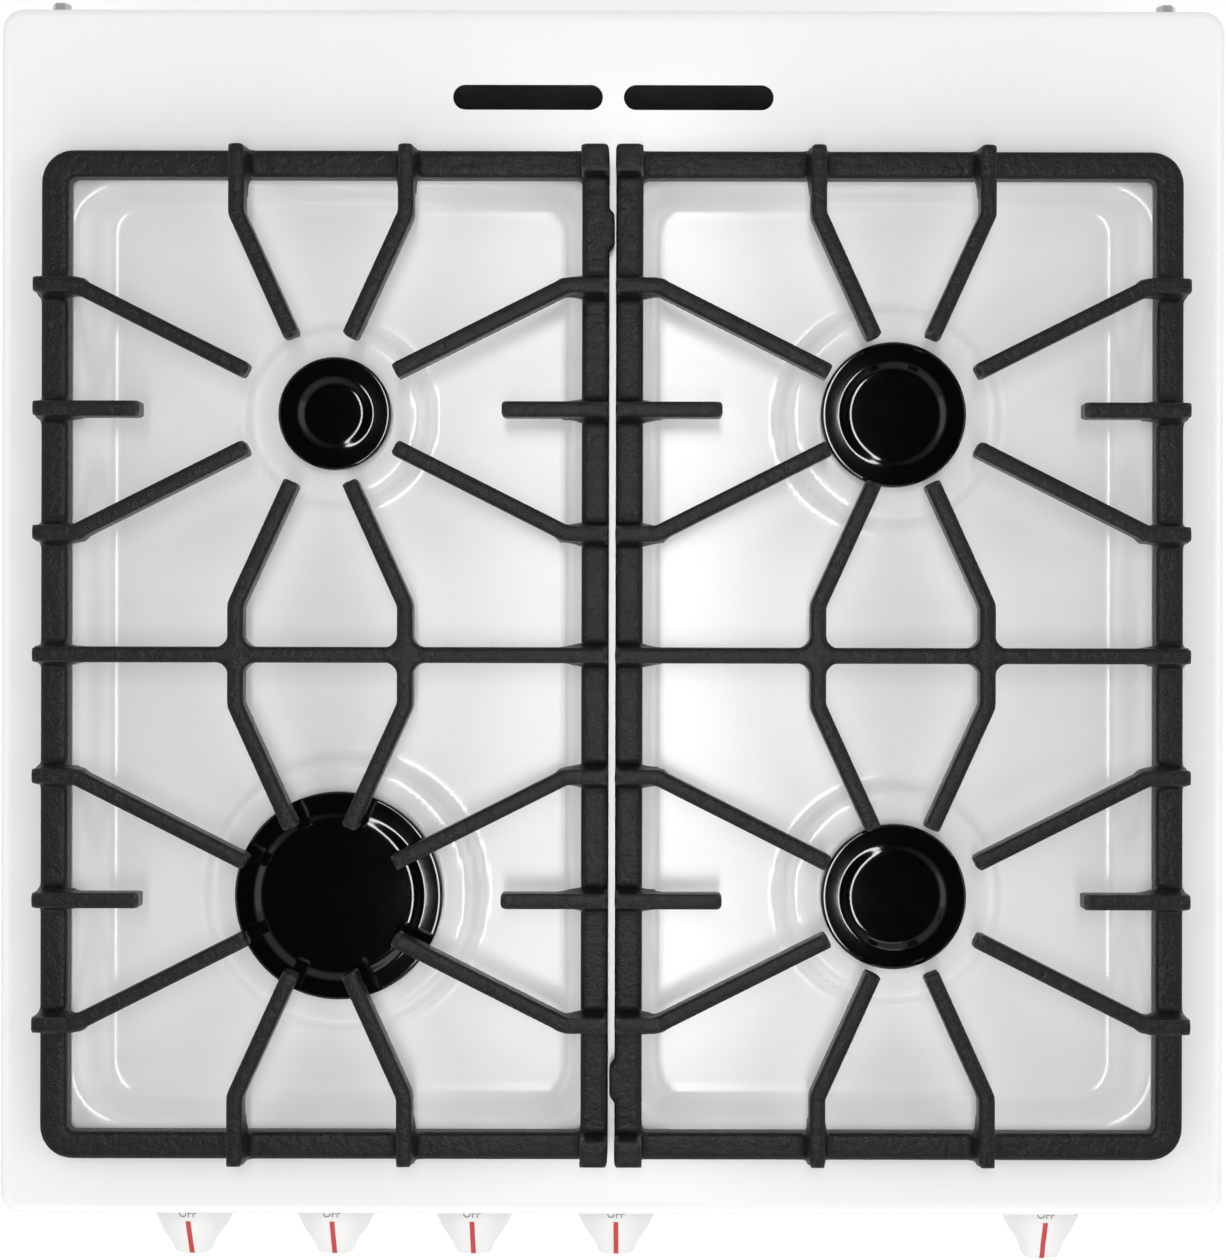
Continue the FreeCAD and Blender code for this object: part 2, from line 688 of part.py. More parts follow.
def make_oven_back():
    """The oven's rear wall, with the flue opening near its top."""
    wall = block("oven_back_plate", (-oven_half, oven_back, oven_bottom),
                 (oven_half, oven_back + oven_steel, oven_roof + oven_steel))
    flue = block("oven_flue", (-flue_half, oven_back - 1, flue_low),
                 (flue_half, oven_back + oven_steel + 1, flue_top))
    keep(cut("oven_back", wall, [flue]), "oven_back_wall")


def make_oven_floor():
    """A loose floor panel with two rows of slots that let the heat up past its sides."""
    edge = oven_inner - fit_gap
    plate = block("floor_plate", (-edge, frame_back + fit_gap, oven_floor - oven_steel),
                  (edge, oven_back - fit_gap, oven_floor))
    slot_pitch = (oven_back - frame_back) / (floor_slots + 1)
    slot_length = slot_pitch / 2
    slots = []
    for sign in (-1, 1):
        middle = sign * (oven_inner - 3 * ledge_depth)
        for step in range(floor_slots):
            start = frame_back + slot_pitch * (step + 1) - slot_length / 2
            slots.append(block("floor_slot",
                               (middle - louvre_height / 2, start, oven_floor - oven_steel - 1),
                               (middle + louvre_height / 2, start + slot_length, oven_floor + 1)))
    keep(cut("floor", plate, slots), "oven_floor_panel")


def make_front_frame():
    """The body's front plate, with the oven's mouth cut in it."""
    plate = block("frame_plate", (-inside_x, frame_front, drawer_top + fit_gap),
                  (inside_x, frame_back, control_bottom + control_height / 3))
    mouth = block("frame_mouth", (-oven_inner, frame_front - 1, oven_floor),
                  (oven_inner, frame_back + 1, oven_roof))
    keep(cut("frame", plate, [mouth]), "oven_front_frame")


def make_gasket():
    """The woven seal round the oven's mouth, just clear of the closed door."""
    out = oven_half + gasket_width
    body = start_body("gasket")
    outer = rectangle(-out, oven_floor - gasket_width, out, oven_roof + gasket_width)
    inner = rectangle(-oven_half, oven_floor, oven_half, oven_roof)
    thick = frame_front - door_back - 2 * fit_gap
    pad(body, draw(body, "XZ_Plane", [outer, inner], -frame_front), thick)
    corners = lambda edge: edge.BoundBox.XLength < 0.01 and edge.BoundBox.ZLength < 0.01
    at_outside = lambda edge: corners(edge) and abs(abs(edge.BoundBox.XMin) - out.value) < 0.01
    round_edges(body, gasket_round, at_outside)
    keep(body, "door_gasket")


def make_insulation():
    """A blanket over the oven's sides, roof and back, open at the front and below."""
    side = oven_half + blanket
    top = oven_roof + oven_steel + blanket
    back = oven_back + oven_steel
    outer = block("blanket_outer", (-side, frame_back + fit_gap, oven_bottom),
                  (side, back + blanket_back, top))
    inner = block("blanket_inner",
                  (-oven_half - fit_gap, frame_back - 1, oven_bottom - 1),
                  (oven_half + fit_gap, back + fit_gap, oven_roof + oven_steel + fit_gap))
    flue = block("blanket_flue",
                 (-flue_half - 2, oven_back, flue_low - 2),
                 (flue_half + 2, back + blanket_back + 1, flue_top + 2))
    keep(cut("blanket", outer, [inner, flue]), "oven_insulation")


def make_vent_duct():
    """The flue: a neck from the oven's back wall, and a flat duct up to the cooktop's slots."""
    side = vent_x + vent_length / 2 + duct_side
    front, back = vent_y - duct_depth / 2, vent_y + duct_depth / 2
    low, high = flue_low - duct_drop, rim - top_sheet - 2 * fit_gap
    neck_start = oven_back + oven_steel
    wall = duct_wall
    duct = fuse("duct_outer", [
        block("duct_box", (-side, front, low), (side, back, high)),
        block("duct_neck", (-flue_half, neck_start, flue_low), (flue_half, front + 1, flue_top)),
    ])
    way = fuse("duct_way", [
        block("duct_hollow", (-side + wall, front + wall, low + wall),
              (side - wall, back - wall, high + 1)),
        block("duct_neck_hollow", (-flue_half + wall, neck_start - 1, flue_low + wall),
              (flue_half - wall, front + wall + 1, flue_top - wall)),
    ])
    keep(cut("duct", duct, [way]), "vent_duct")


def make_oven_burner():
    """A closed steel tube under the oven floor, with a row of gas ports along each side."""
    start = frame_back + tube_room
    length = oven_back - tube_room - start
    height = (oven_bottom + oven_floor) / 2
    outer = rod("burner_tube", "y", (0, start, height), length, tube_radius)
    hollow = rod("burner_tube_hollow", "y", (0, start + tube_wall, height),
                 length - 2 * tube_wall, tube_radius - tube_wall)
    port_pitch = (length - 2 * port_end) / (ports - 1)
    holes = [rod("port", "x", (-tube_radius - 1, start + port_end + port_pitch * step, height),
                 2 * tube_radius + 2, port_radius) for step in range(ports)]
    keep(cut("oven_burner", outer, [hollow] + holes), "oven_tube_burner")


def make_rack(label, level):
    """A chromed wire rack that rests on a pair of ledges."""
    height = oven_floor + rack_pitch * level + seat_gap + rack_rod
    edge = oven_inner - rack_side - rack_rod
    bar = oven_inner - ledge_depth - rack_wire
    back = oven_back - rack_back_gap - rack_rod
    front = frame_back + rack_room + rack_rod
    rods = []
    for sign in (-1, 1):
        rods.append(rod("rack_side_rod", "y", (sign * edge, front, height), back - front, rack_rod))
    for y in (front, back):
        rods.append(rod("rack_end_rod", "x", (-edge, y, height), 2 * edge, rack_rod))
        for sign in (-1, 1):
            knee = doc.addObject("Part::Sphere", "rack_corner")
            bind(knee, "Radius", rack_rod)
            move_to(knee, (sign * edge, y, height))
            rods.append(knee)
    for step in range(1, rack_wires + 1):
        x = -edge + 2 * edge * step / (rack_wires + 1)
        rods.append(rod("rack_wire", "y", (x, front, height), back - front, rack_wire))
    for share in (1, 2):
        y = front + (back - front) * share / 3
        rods.append(rod("rack_bar", "x", (-bar, y, height - rack_rod), 2 * bar, rack_wire))
    keep(fuse(label, rods), label)


make_wrapper()
make_oven_back()
make_oven_floor()
make_front_frame()
make_gasket()
make_insulation()
make_vent_duct()
make_oven_burner()
make_rack("oven_rack_lower", 2)
make_rack("oven_rack_upper", 4)

# ---------------------------------------------------------------- oven door

slot_half = hinge_arm / 2 + 1
liner_front = door_back - door_steel
window_half = door_half - window_side
window_low = door_bottom + window_sill
window_high = door_top - window_head
hinge_middles = (-hinge_x, hinge_x)


def door_window(name, step, y0, y1):
    """A box as large as the window, made larger or smaller all round by a step."""
    return block(name, (-window_half - step, y0, window_low - step),
                 (window_half + step, y1, window_high + step))


def make_door_shell():
    """The outer pan, its liner and the two panes, with slots at the bottom for the hinges."""
    outer = block("door_outer", (-door_half, face, door_bottom), (door_half, liner_front, door_top))
    hollow = block("door_hollow", (-door_half + door_steel, face + door_steel, door_bottom + door_steel),
                   (door_half - door_steel, liner_front + 1, door_top - door_steel))
    notches = [block("door_notch", (x - slot_half, face + 3 * door_steel, door_bottom - 1),
                     (x + slot_half, door_back + 1, pin_z + hinge_depth)) for x in hinge_middles]
    window = door_window("door_window", 0, face - 1, face + 2 * door_steel)
    keep(cut("door_pan", outer, [hollow, window] + notches), "door_outer_panel")

    liner = block("liner_plate", (-door_half, liner_front, door_bottom), (door_half, door_back, door_top))
    slots = [block("liner_slot", (x - slot_half, liner_front - 1, door_bottom - 1),
                   (x + slot_half, door_back + 1, pin_z + hinge_depth)) for x in hinge_middles]
    inner_window = door_window("liner_window", -inner_window_step, liner_front - 1, door_back + 1)
    keep(cut("liner", liner, [inner_window] + slots), "door_inner_liner")

    pane = face + door_steel + fit_gap
    keep(door_window("outer_pane", glass_lap, pane, pane + glass_thick), "door_outer_glass")
    pane = liner_front - fit_gap - glass_thick
    keep(door_window("inner_pane", glass_lap - inner_window_step, pane, pane + glass_thick),
         "door_inner_glass")


def make_handle():
    """A round bar on two posts whose ends are saddled to it."""
    keep(rod("handle_bar", "x", (-handle_half, handle_y, handle_z), 2 * handle_half, handle_radius),
         "door_handle_bar")
    posts = []
    for sign in (-1, 1):
        post = rod("handle_post", "y", (sign * post_x, handle_y, handle_z), face - handle_y, post_radius)
        saddle = rod("post_saddle", "x", (sign * post_x - 2 * post_radius, handle_y, handle_z),
                     4 * post_radius, handle_radius + fit_gap / 10)
        posts.append(cut("post", post, [saddle]))
    keep(gather("posts", posts), "door_handle_mounts")


def make_hinges():
    """Brackets that carry the pins on the body, and pairs of plates that turn on them in the door."""
    brackets, plates = [], []
    for x in hinge_middles:
        arm = block("hinge_arm", (x - hinge_arm / 2, pin_y - hinge_arm_half, pin_z - hinge_arm_half),
                    (x + hinge_arm / 2, frame_front, pin_z + hinge_arm_half))
        reach = slot_half + hinge_plate + fit_gap
        pin = rod("hinge_pin", "x", (x - reach, pin_y, pin_z), 2 * reach, hinge_pin)
        brackets.append(fuse("hinge_bracket", [arm, pin]))
        for sign in (-1, 1):
            near = sign * (slot_half + fit_gap / 3)
            sides = sorted((x + near, x + near + sign * hinge_plate), key=lambda amount: amount.value)
            plate = block("hinge_side", (sides[0], face + door_steel + fit_gap, door_bottom + door_steel),
                          (sides[1], liner_front - fit_gap, pin_z + 2 * hinge_depth))
            hole = rod("hinge_hole", "x", (sides[0] - 1, pin_y, pin_z), hinge_plate + 2,
                       hinge_pin + turn_gap)
            plates.append(cut("hinge_plate_cut", plate, [hole]))
    keep(gather("hinge_brackets", brackets), "door_hinge_brackets")
    keep(gather("hinge_plates", plates), "door_hinge_plates")


make_door_shell()
make_handle()
make_hinges()

# ---------------------------------------------------------------- drawer

tray_front = face + drawer_thick
tray_back = body_back - tray_room
tray_half = side_x - tray_side
tray_top = drawer_top - tray_drop


def make_drawer():
    """A folded drawer front and the open tray behind it."""
    outer = block("drawer_outer", (-door_half, face, drawer_bottom), (door_half, tray_front, drawer_top))
    hollow = block("drawer_hollow",
                   (-door_half + door_steel, face + door_steel, drawer_bottom + door_steel),
                   (door_half - door_steel, tray_front + 1, drawer_top - door_steel))
    keep(cut("drawer_pan", outer, [hollow]), "drawer_front")

    walls = block("tray_outer", (-tray_half, tray_front, tray_bottom),
                  (tray_half, tray_back, tray_top))
    inside = block("tray_inside",
                   (-tray_half + tray_steel, tray_front + tray_steel, tray_bottom + tray_steel),
                   (tray_half - tray_steel, tray_back - tray_steel, tray_top + 1))
    keep(cut("tray", walls, [inside]), "drawer_tray")


def make_drawer_rails():
    """A rail fixed inside each side panel: a shelf under the tray and a guide beside it."""
    top = tray_bottom - fit_gap
    rails = []
    for sign in (-1, 1):
        shelf_x = sorted((sign * (tray_half - rail_lap), sign * inside_x), key=lambda a: a.value)
        guide_x = sorted((sign * (tray_half + 1), sign * (tray_half + 1 + rail_steel)),
                         key=lambda a: a.value)
        shelf = block("rail_shelf", (shelf_x[0], frame_front, top - rail_steel),
                      (shelf_x[1], base_back - panel_steel - fit_gap, top))
        guide = block("rail_guide", (guide_x[0], frame_front, top - rail_steel / 2),
                      (guide_x[1], base_back - panel_steel - fit_gap, top + rail_guide))
        rails.append(fuse("rail", [shelf, guide]))
    keep(gather("rails", rails), "drawer_rails")


make_drawer()
make_drawer_rails()

# ---------------------------------------------------------------- cooktop

def well_outline(sign, skin, depth):
    """A well's plan at a depth share, 0 at the rim and 1 at the floor, grown all round by a skin."""
    near = ridge_half + ridge_slope * depth - skin
    far = well_rim_x - well_slope_x * depth + skin
    front = top_y - well_front + well_front_slope * depth - skin
    back = top_y + well_back - well_back_slope * depth + skin
    return rectangle(sign * near, front, sign * far, back)


def cooktop_form(name, skin):
    """The pressed cooktop as a full solid, shrunk by a skin so that two of them make the sheet."""
    body = start_body(name)
    top = rim - skin
    low = lip if name == "cooktop_outer" else lip - 1
    above = 0.1
    outline = rectangle(-half_width + skin, top_front + skin, half_width - skin, top_back - skin)
    pad(body, draw(body, "XY_Plane", [outline], low), top - low)
    round_edges(body, top_corner - skin, upright)
    round_edges(body, rim_round - skin, level_at(top.value))
    for sign in (-1, 1):
        upper = draw(body, "XY_Plane", [well_outline(sign, skin, -above)], rim + above * well_depth)
        lower = draw(body, "XY_Plane", [well_outline(sign, skin, 1)], well_floor - skin)
        loft(body, "PartDesign::SubtractiveLoft", lower, upper)
    floor = (well_floor - skin).value
    leaning = lambda edge: (abs(edge.BoundBox.ZMin - floor) < 0.01 and edge.BoundBox.ZLength > 1
                            and edge.BoundBox.YLength > 1)
    round_edges(body, well_corner, leaning)
    for x, y, cap, mound in burners.values():
        lower = draw(body, "XY_Plane", [], well_floor - skin, [(x, y, mound - skin)])
        upper = draw(body, "XY_Plane", [], mound_top - skin, [(x, y, mound - mound_slope - skin)])
        loft(body, "PartDesign::AdditiveLoft", lower, upper)
    return body


def igniter_place(x, y, cap):
    """An igniter stands in front of its burner, under the edge of the cap."""
    return x, y - (cap - igniter_radius - fit_gap)


def make_cooktop():
    outer = cooktop_form("cooktop_outer", Size.of(0))
    inner = cooktop_form("cooktop_inner", top_sheet)
    low, through = well_floor - 2 * top_sheet, well_depth + 4
    tools = [rod("burner_hole", "z", (x, y, low), through, spigot_radius + fit_gap)
             for x, y, cap, mound in burners.values()]
    tools += [rod("igniter_hole", "z", (*igniter_place(x, y, cap), low), through,
                  igniter_radius + fit_gap) for x, y, cap, mound in burners.values()]
    for sign in (-1, 1):
        reach = vent_length / 2 - vent_width / 2
        start = rim - 2 * top_sheet
        middle = sign * vent_x
        tools.append(block("vent_middle", (middle - reach, vent_y - vent_width / 2, start),
                           (middle + reach, vent_y + vent_width / 2, rim + 1)))
        tools += [rod("vent_end", "z", (middle + end * reach, vent_y, start), 2 * top_sheet + 1,
                      vent_width / 2) for end in (-1, 1)]
        tools.append(rod("rear_screw_hole", "y", (sign * screw_x, top_back - 2 * top_sheet, rim - screw_drop),
                         3 * top_sheet, screw_shank + fit_gap))
    keep(cut("cooktop", cut("cooktop_sheet", outer, [inner]), tools), "maintop")


def make_rear_screws():
    """Two washer-head screws through the cooktop's rear skirt."""
    screws = []
    for sign in (-1, 1):
        place = (sign * screw_x, top_back, rim - screw_drop)
        head = rod("screw_head", "y", place, screw_head, screw_head_radius)
        shank = rod("screw_shank", "y", (place[0], top_back - screw_length, place[2]),
                    screw_length + 1, screw_shank)
        screws.append(fuse("rear_screw", [head, shank]))
    keep(gather("screws", screws), "rear_screws")


make_cooktop()
make_rear_screws()

# ---------------------------------------------------------------- cooktop burners

cap_bottom = mound_top + head_height + seat_gap


def make_burner(name, x, y, cap):
    """A turned burner head with its spigot through the cooktop, and the stepped cap that rests on it."""
    head = start_body(f"head_{name}", (x, y, mound_top))
    wide = cap - head_inset
    spin(head, draw(head, "XZ_Plane", [[
        (head_bore, -spigot_length), (spigot_radius, -spigot_length), (spigot_radius, 0),
        (wide, 0), (wide, head_height), (head_bore, head_height),
    ]]))
    keep(head, f"burner_head_{name}")

    body = start_body(f"cap_{name}", (x, y, cap_bottom))
    shoulder, middle = cap_thick - cap_step, cap - cap_middle
    spin(body, draw(body, "XZ_Plane", [[
        (0, 0), (cap, 0), (cap, shoulder - cap_edge), (cap - cap_edge, shoulder),
        (middle, shoulder), (middle - cap_step, cap_thick), (0, cap_thick),
    ]]))
    keep(body, f"burner_cap_{name}")


def make_burner_bases():
    """Cups fixed under the cooktop that feed the heads."""
    top = mound_top - spigot_length - fit_gap
    bases = []
    for name, (x, y, cap, mound) in burners.items():
        cup = start_body(f"base_{name}", (x, y, top - base_height))
        spin(cup, draw(cup, "XZ_Plane", [[
            (0, 0), (base_radius, 0), (base_radius, base_height), (head_bore, base_height),
            (head_bore, base_height / 3), (0, base_height / 3),
        ]]))
        bases.append(cup)
    keep(gather("bases", bases), "burner_bases")


def make_igniters():
    """A ceramic spark pin beside each burner head."""
    pins = []
    low = well_floor - 3 * top_sheet
    for x, y, cap, mound in burners.values():
        place = igniter_place(x, y, cap)
        pins.append(rod("igniter", "z", (*place, low), cap_bottom - fit_gap - low, igniter_radius))
    keep(gather("igniter_pins", pins), "igniters")


def make_spark_module():
    """The box that makes the sparks, on the inside of the back panel."""
    back = base_back - panel_steel - fit_gap
    body = start_body("spark", (-spark_x, back, knob_z - spark_height))
    outline = rectangle(-spark_width / 2, -spark_depth, spark_width / 2, 0)
    pad(body, draw(body, "XY_Plane", [outline]), spark_height)
    round_edges(body, 3, upright)
    keep(body, "spark_module")


for name, (x, y, cap, mound) in burners.items():
    make_burner(name, x, y, cap)
make_burner_bases()
make_igniters()
make_spark_module()

# ---------------------------------------------------------------- grates

grate_z = rim + foot_height + seat_gap
finger_z = finger_top - foot_height - seat_gap


def bent_finger(root, knee, tip):
    """The plan of a finger: a straight run and a turned end, mitred at the knee."""
    half = finger_width / 2
    first = longest(knee[0] - root[0], knee[1] - root[1])
    second = longest(tip[0] - knee[0], tip[1] - knee[1])
    ahead = ((knee[0] - root[0]) / first, (knee[1] - root[1]) / first)
    turned = ((tip[0] - knee[0]) / second, (tip[1] - knee[1]) / second)
    beside = (-half * ahead[1], half * ahead[0])
    across = (-half * turned[1], half * turned[0])
    share = 1 + ahead[0] * turned[0] + ahead[1] * turned[1]
    mitre = ((beside[0] + across[0]) / share, (beside[1] + across[1]) / share)
    corners = []
    for sign in (1, -1):
        side = [(root[0] + sign * beside[0], root[1] + sign * beside[1]),
                (knee[0] + sign * mitre[0], knee[1] + sign * mitre[1]),
                (tip[0] + sign * across[0], tip[1] + sign * across[1])]
        corners.append(side)
    return corners[0] + corners[1][::-1]


def finger_plans():
    """The fingers of one quarter of a grate."""
    plans = []
    for way, root in ((1, rail_y), (-1, finger_width / 4)):
        knee = (end_finger_x, burner_pitch + way * end_knee)
        tip = (end_tip_x, burner_pitch + way * end_tip_y)
        plans.append(bent_finger((end_finger_x, Size.of(root)), knee, tip))
    for way in (1, -1):
        height = burner_pitch + way * side_finger_y
        tip = (side_tip_x, burner_pitch + way * side_tip_y)
        plans.append(bent_finger((rail_x, height), (side_knee, height), tip))
    half = finger_width / 2
    plans.append(rectangle(mid_tip, burner_pitch - half, rail_x, burner_pitch + half))
    return plans


def post_plans():
    """Where the fingers of one quarter stand on the rail."""
    half = finger_width / 2
    plans = [rectangle(end_finger_x - half, rail_y - rail_width, end_finger_x + half, rail_y)]
    for height in (burner_pitch - side_finger_y, burner_pitch, burner_pitch + side_finger_y):
        plans.append(rectangle(rail_x - rail_width, height - half, rail_x, height + half))
    return plans


def make_grate(label, sign):
    """One cast grate.  Both are the same casting; the right one is turned half round."""
    turn = Rotation(Vector(0, 0, 1), 0 if sign < 0 else 180)
    body = start_body(label, (sign * grate_x, grate_y, grate_z), turn)
    ring = [rectangle(-rail_x, -rail_y, rail_x, rail_y),
            rectangle(-rail_x + rail_width, -rail_y + rail_width, rail_x - rail_width, rail_y - rail_width)]
    pad(body, draw(body, "XY_Plane", ring), rail_height)
    outer_side = lambda edge: upright(edge) and abs(edge.BoundBox.XMin + rail_x.value) < 0.01
    round_edges(body, grate_round, outer_side)
    corners = [rectangle(rail_x - rail_width, end * rail_y, rail_x, end * (rail_y - rail_width))
               for end in (-1, 1)]
    pad(body, draw(body, "XY_Plane", corners), finger_z)
    nub_front, nub_back = nub_place - nub_length / 2, nub_place + nub_length / 2
    nub = [(rail_x - 1, nub_front), (rail_x + nub_reach, nub_front + nub_slope),
           (rail_x + nub_reach, nub_back - nub_slope), (rail_x - 1, nub_back)]
    pad(body, draw(body, "XY_Plane", [nub]), rail_height)
    half = finger_width / 2
    cross_posts = [rectangle(sign_x * rail_x, -half, sign_x * (rail_x - rail_width), half)
                   for sign_x in (-1, 1)]
    pad(body, draw(body, "XY_Plane", cross_posts), finger_z)
    bar = rectangle(-rail_x, -half, rail_x, half)
    pad(body, draw(body, "XY_Plane", [bar], finger_z - finger_depth), finger_depth)
    posts = pad(body, draw(body, "XY_Plane", post_plans()), finger_z)
    fingers = pad(body, draw(body, "XY_Plane", finger_plans(), finger_z - finger_depth), finger_depth)
    mirrors = []
    for role in ("YZ_Plane", "XZ_Plane"):
        plane = next(item for item in body.Origin.OriginFeatures if item.Role == role)
        mirror = body.newObject("PartDesign::Mirrored", f"{label}_mirror")
        mirror.MirrorPlane = (plane, [""])
        mirrors.append(mirror)
    quarters = body.newObject("PartDesign::MultiTransform", f"{label}_quarters")
    quarters.Originals = [posts, fingers]
    quarters.Transformations = mirrors
    body.Tip = quarters
    keep(body, label)


def make_grate_feet(label, sign):
    """Four rubber feet under the corners of a grate."""
    feet = []
    for side in (-1, 1):
        for end in (-1, 1):
            x = sign * grate_x + side * (rail_x - foot_inset)
            y = grate_y + end * (rail_y - foot_inset)
            feet.append(rod("grate_foot", "z", (x, y, rim + seat_gap), foot_height, foot_radius))
    keep(gather(label, feet), label)


for side, sign in (("left", -1), ("right", 1)):
    make_grate(f"grate_{side}", sign)
    make_grate_feet(f"grate_feet_{side}", sign)

# ---------------------------------------------------------------- gas train

rotor_back = valve_back - valve_wall - fit_gap
neck_length = valve_wall


def bent_path(points, bend):
    """Straight runs joined by tangent arcs of one radius."""
    edges, start = [], points[0]
    for here, after in zip(points[1:], points[2:]):
        back = (start - here).normalize()
        on = (after - here).normalize()
        half_turn = (math.pi - back.getAngle(on)) / 2
        reach = bend * math.tan(half_turn)
        enter, leave = here + back * reach, here + on * reach
        inward = (back + on).normalize()
        middle = here + inward * (bend / math.cos(half_turn) - bend)
        edges.append(Part.LineSegment(start, enter).toShape())
        edges.append(Part.Arc(enter, middle, leave).toShape())
        start = leave
    edges.append(Part.LineSegment(start, points[-1]).toShape())
    return Part.Wire(edges)


def bent_tube(path, radius):
    """A solid round tube along a path."""
    start = path.Edges[0].valueAt(path.Edges[0].FirstParameter)
    way = path.Edges[0].tangentAt(path.Edges[0].FirstParameter)
    ring = Part.Wire(Part.Circle(start, way, radius).toShape())
    return path.makePipeShell([ring], True, False)


def point(x, y, z):
    return Vector(*(Size.of(amount).value for amount in (x, y, z)))


def make_manifold():
    """The gas rail behind the control panel, turned back along the right side to the regulator."""
    rear = body_back - 2 * regulator_radius - 3 * inlet_depth / 2
    path = bent_path([
        point(-manifold_end, manifold_y, knob_z),
        point(manifold_end, manifold_y, knob_z),
        point(manifold_end, rear, knob_z),
    ], manifold_bend.value)
    pipe = doc.addObject("Part::Feature", "manifold")
    pipe.Shape = bent_tube(path, manifold_radius.value).cut(bent_tube(path, manifold_bore.value))
    pipe.Placement = Placement()
    keep(pipe, "manifold_pipe")
    return rear


def make_regulator(front):
    """The pressure regulator: a round body with a boss at the back that takes the gas inlet thread."""
    middle = front + inlet_depth / 2 + regulator_radius
    back = body_back - panel_steel
    low = knob_z - regulator_height / 2
    case = fuse("regulator_case", [
        rod("regulator_body", "z", (manifold_end, middle, low), regulator_height, regulator_radius),
        rod("regulator_boss", "y", (manifold_end, front, knob_z), back - front, inlet_radius),
    ])
    thread = rod("regulator_thread", "y", (manifold_end, back - inlet_depth, knob_z),
                 inlet_depth + 1, inlet_bore)
    keep(cut("regulator", case, [thread]), "pressure_regulator")


def valve_shell(name, x, radius):
    """A valve body, bored for its rotor and necked for its stem."""
    body = rod(f"{name}_body", "y", (x, valve_front, knob_z), valve_back - valve_front, radius)
    bore = rod(f"{name}_bore", "y", (x, valve_front + neck_length, knob_z),
               rotor_back + fit_gap - valve_front - neck_length, rotor_radius + turn_gap)
    neck = rod(f"{name}_neck", "y", (x, valve_front - 1, knob_z), neck_length + 2,
               stem_radius + turn_gap)
    return cut(name, body, [bore, neck])


def make_valves():
    valves = [valve_shell(f"valve_{name}", x, valve_radius) for name, x in burner_knobs.items()]
    keep(gather("valves", valves), "burner_valves")
    keep(valve_shell("thermostat", oven_knob, thermostat_radius), "oven_thermostat")


def make_stem(name, x):
    """A brass stem with the plug that turns inside the valve."""
    plug_back = rotor_back
    front = knob_back - stem_depth
    plug = rod(f"plug_{name}", "y", (x, plug_back - rotor_length, knob_z), rotor_length, rotor_radius)
    shaft = rod(f"shaft_{name}", "y", (x, front, knob_z), plug_back - front, stem_radius)
    keep(fuse(f"stem_{name}", [plug, shaft]), f"valve_stem_{name}")


def make_knob(name, x, length):
    """A pointer knob: a skirt, a flare, an upright grip with sloping ends, and a hole for the stem."""
    body = start_body(f"knob_{name}", (x, knob_back, knob_z), Rotation(Vector(1, 0, 0), 90))
    spin(body, draw(body, "XZ_Plane", [[
        (0, 0), (knob_radius, 0), (knob_radius, knob_skirt),
        (knob_radius - knob_shoulder, knob_shoulder_depth),
        (knob_radius - knob_waist, knob_waist_depth), (grip_half, knob_flare), (0, knob_flare),
    ]]))
    grip = [(-grip_tall, knob_skirt), (grip_tall, knob_skirt), (grip_tall, grip_slope),
            (grip_crest, length), (-grip_crest, length), (-grip_tall, grip_slope)]
    pad(body, draw(body, "YZ_Plane", [grip], -grip_half), 2 * grip_half)
    round_edges(body, grip_round, level_at(length.value))
    bore = draw(body, "XY_Plane", [], 0, [(0, 0, stem_radius + turn_gap)])
    pocket(body, bore, stem_depth + push_room)
    keep(body, f"knob_{name}")


supply_lanes = {
    "left_front": None,
    "left_rear": burners["left_front"][0] + lane_left_gap,
    "right_rear": burners["right_front"][0] - lane_right_gap,
    "right_front": None,
}


def make_supply_tubes():
    """A bent tube from the top of each burner valve to its burner base."""
    tubes = []
    start_y = valve_front + valve_radius
    turn_y = manifold_y + manifold_radius
    for name, (x, y, cap, mound) in burners.items():
        knob_x, lane = burner_knobs[name], supply_lanes[name]
        points = [point(knob_x, start_y, knob_z + valve_radius + fit_gap),
                  point(knob_x, start_y, supply_z), point(knob_x, turn_y, supply_z)]
        if lane is not None:
            points += [point(lane, turn_y + base_radius * 2, supply_z),
                       point(lane, y - base_radius * 3, supply_z)]
        else:
            points.append(point(x, turn_y + base_radius * 2, supply_z))
        if lane is not None:
            points.append(point(x, y - base_radius * 3 / 2, supply_z))
        points.append(point(x, y - base_radius - fit_gap, supply_z))
        tube = doc.addObject("Part::Feature", f"supply_{name}")
        tube.Shape = bent_tube(bent_path(points, supply_bend.value), supply_radius.value)
        tube.Placement = Placement()
        tubes.append(tube)
    keep(gather("supply", tubes), "supply_tubes")


make_regulator(make_manifold())
make_valves()
make_supply_tubes()
for name, x in knobs.items():
    make_stem(name, x)
    make_knob(name, x, oven_knob_length if name == "oven" else knob_length)

# ---------------------------------------------------------------- checks and files

doc.recompute()
faults = [item.Name for item in doc.Objects if {"Invalid", "Error"} & set(item.State)]
faults += [item.Label for item in pieces if item.Shape.isNull() or not item.Shape.isValid()]
if faults:
    raise SystemExit(f"these did not build: {faults}")
os.makedirs("parts", exist_ok=True)
for item in pieces:
    item.Shape.exportStep(f"parts/{item.Label}.step")
    print(item.Label, len(item.Shape.Solids), round(item.Shape.Volume))
print(len(pieces), "sub-parts")
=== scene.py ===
import math

import bmesh
import bpy
import numpy as np
from mathutils import Matrix, Vector


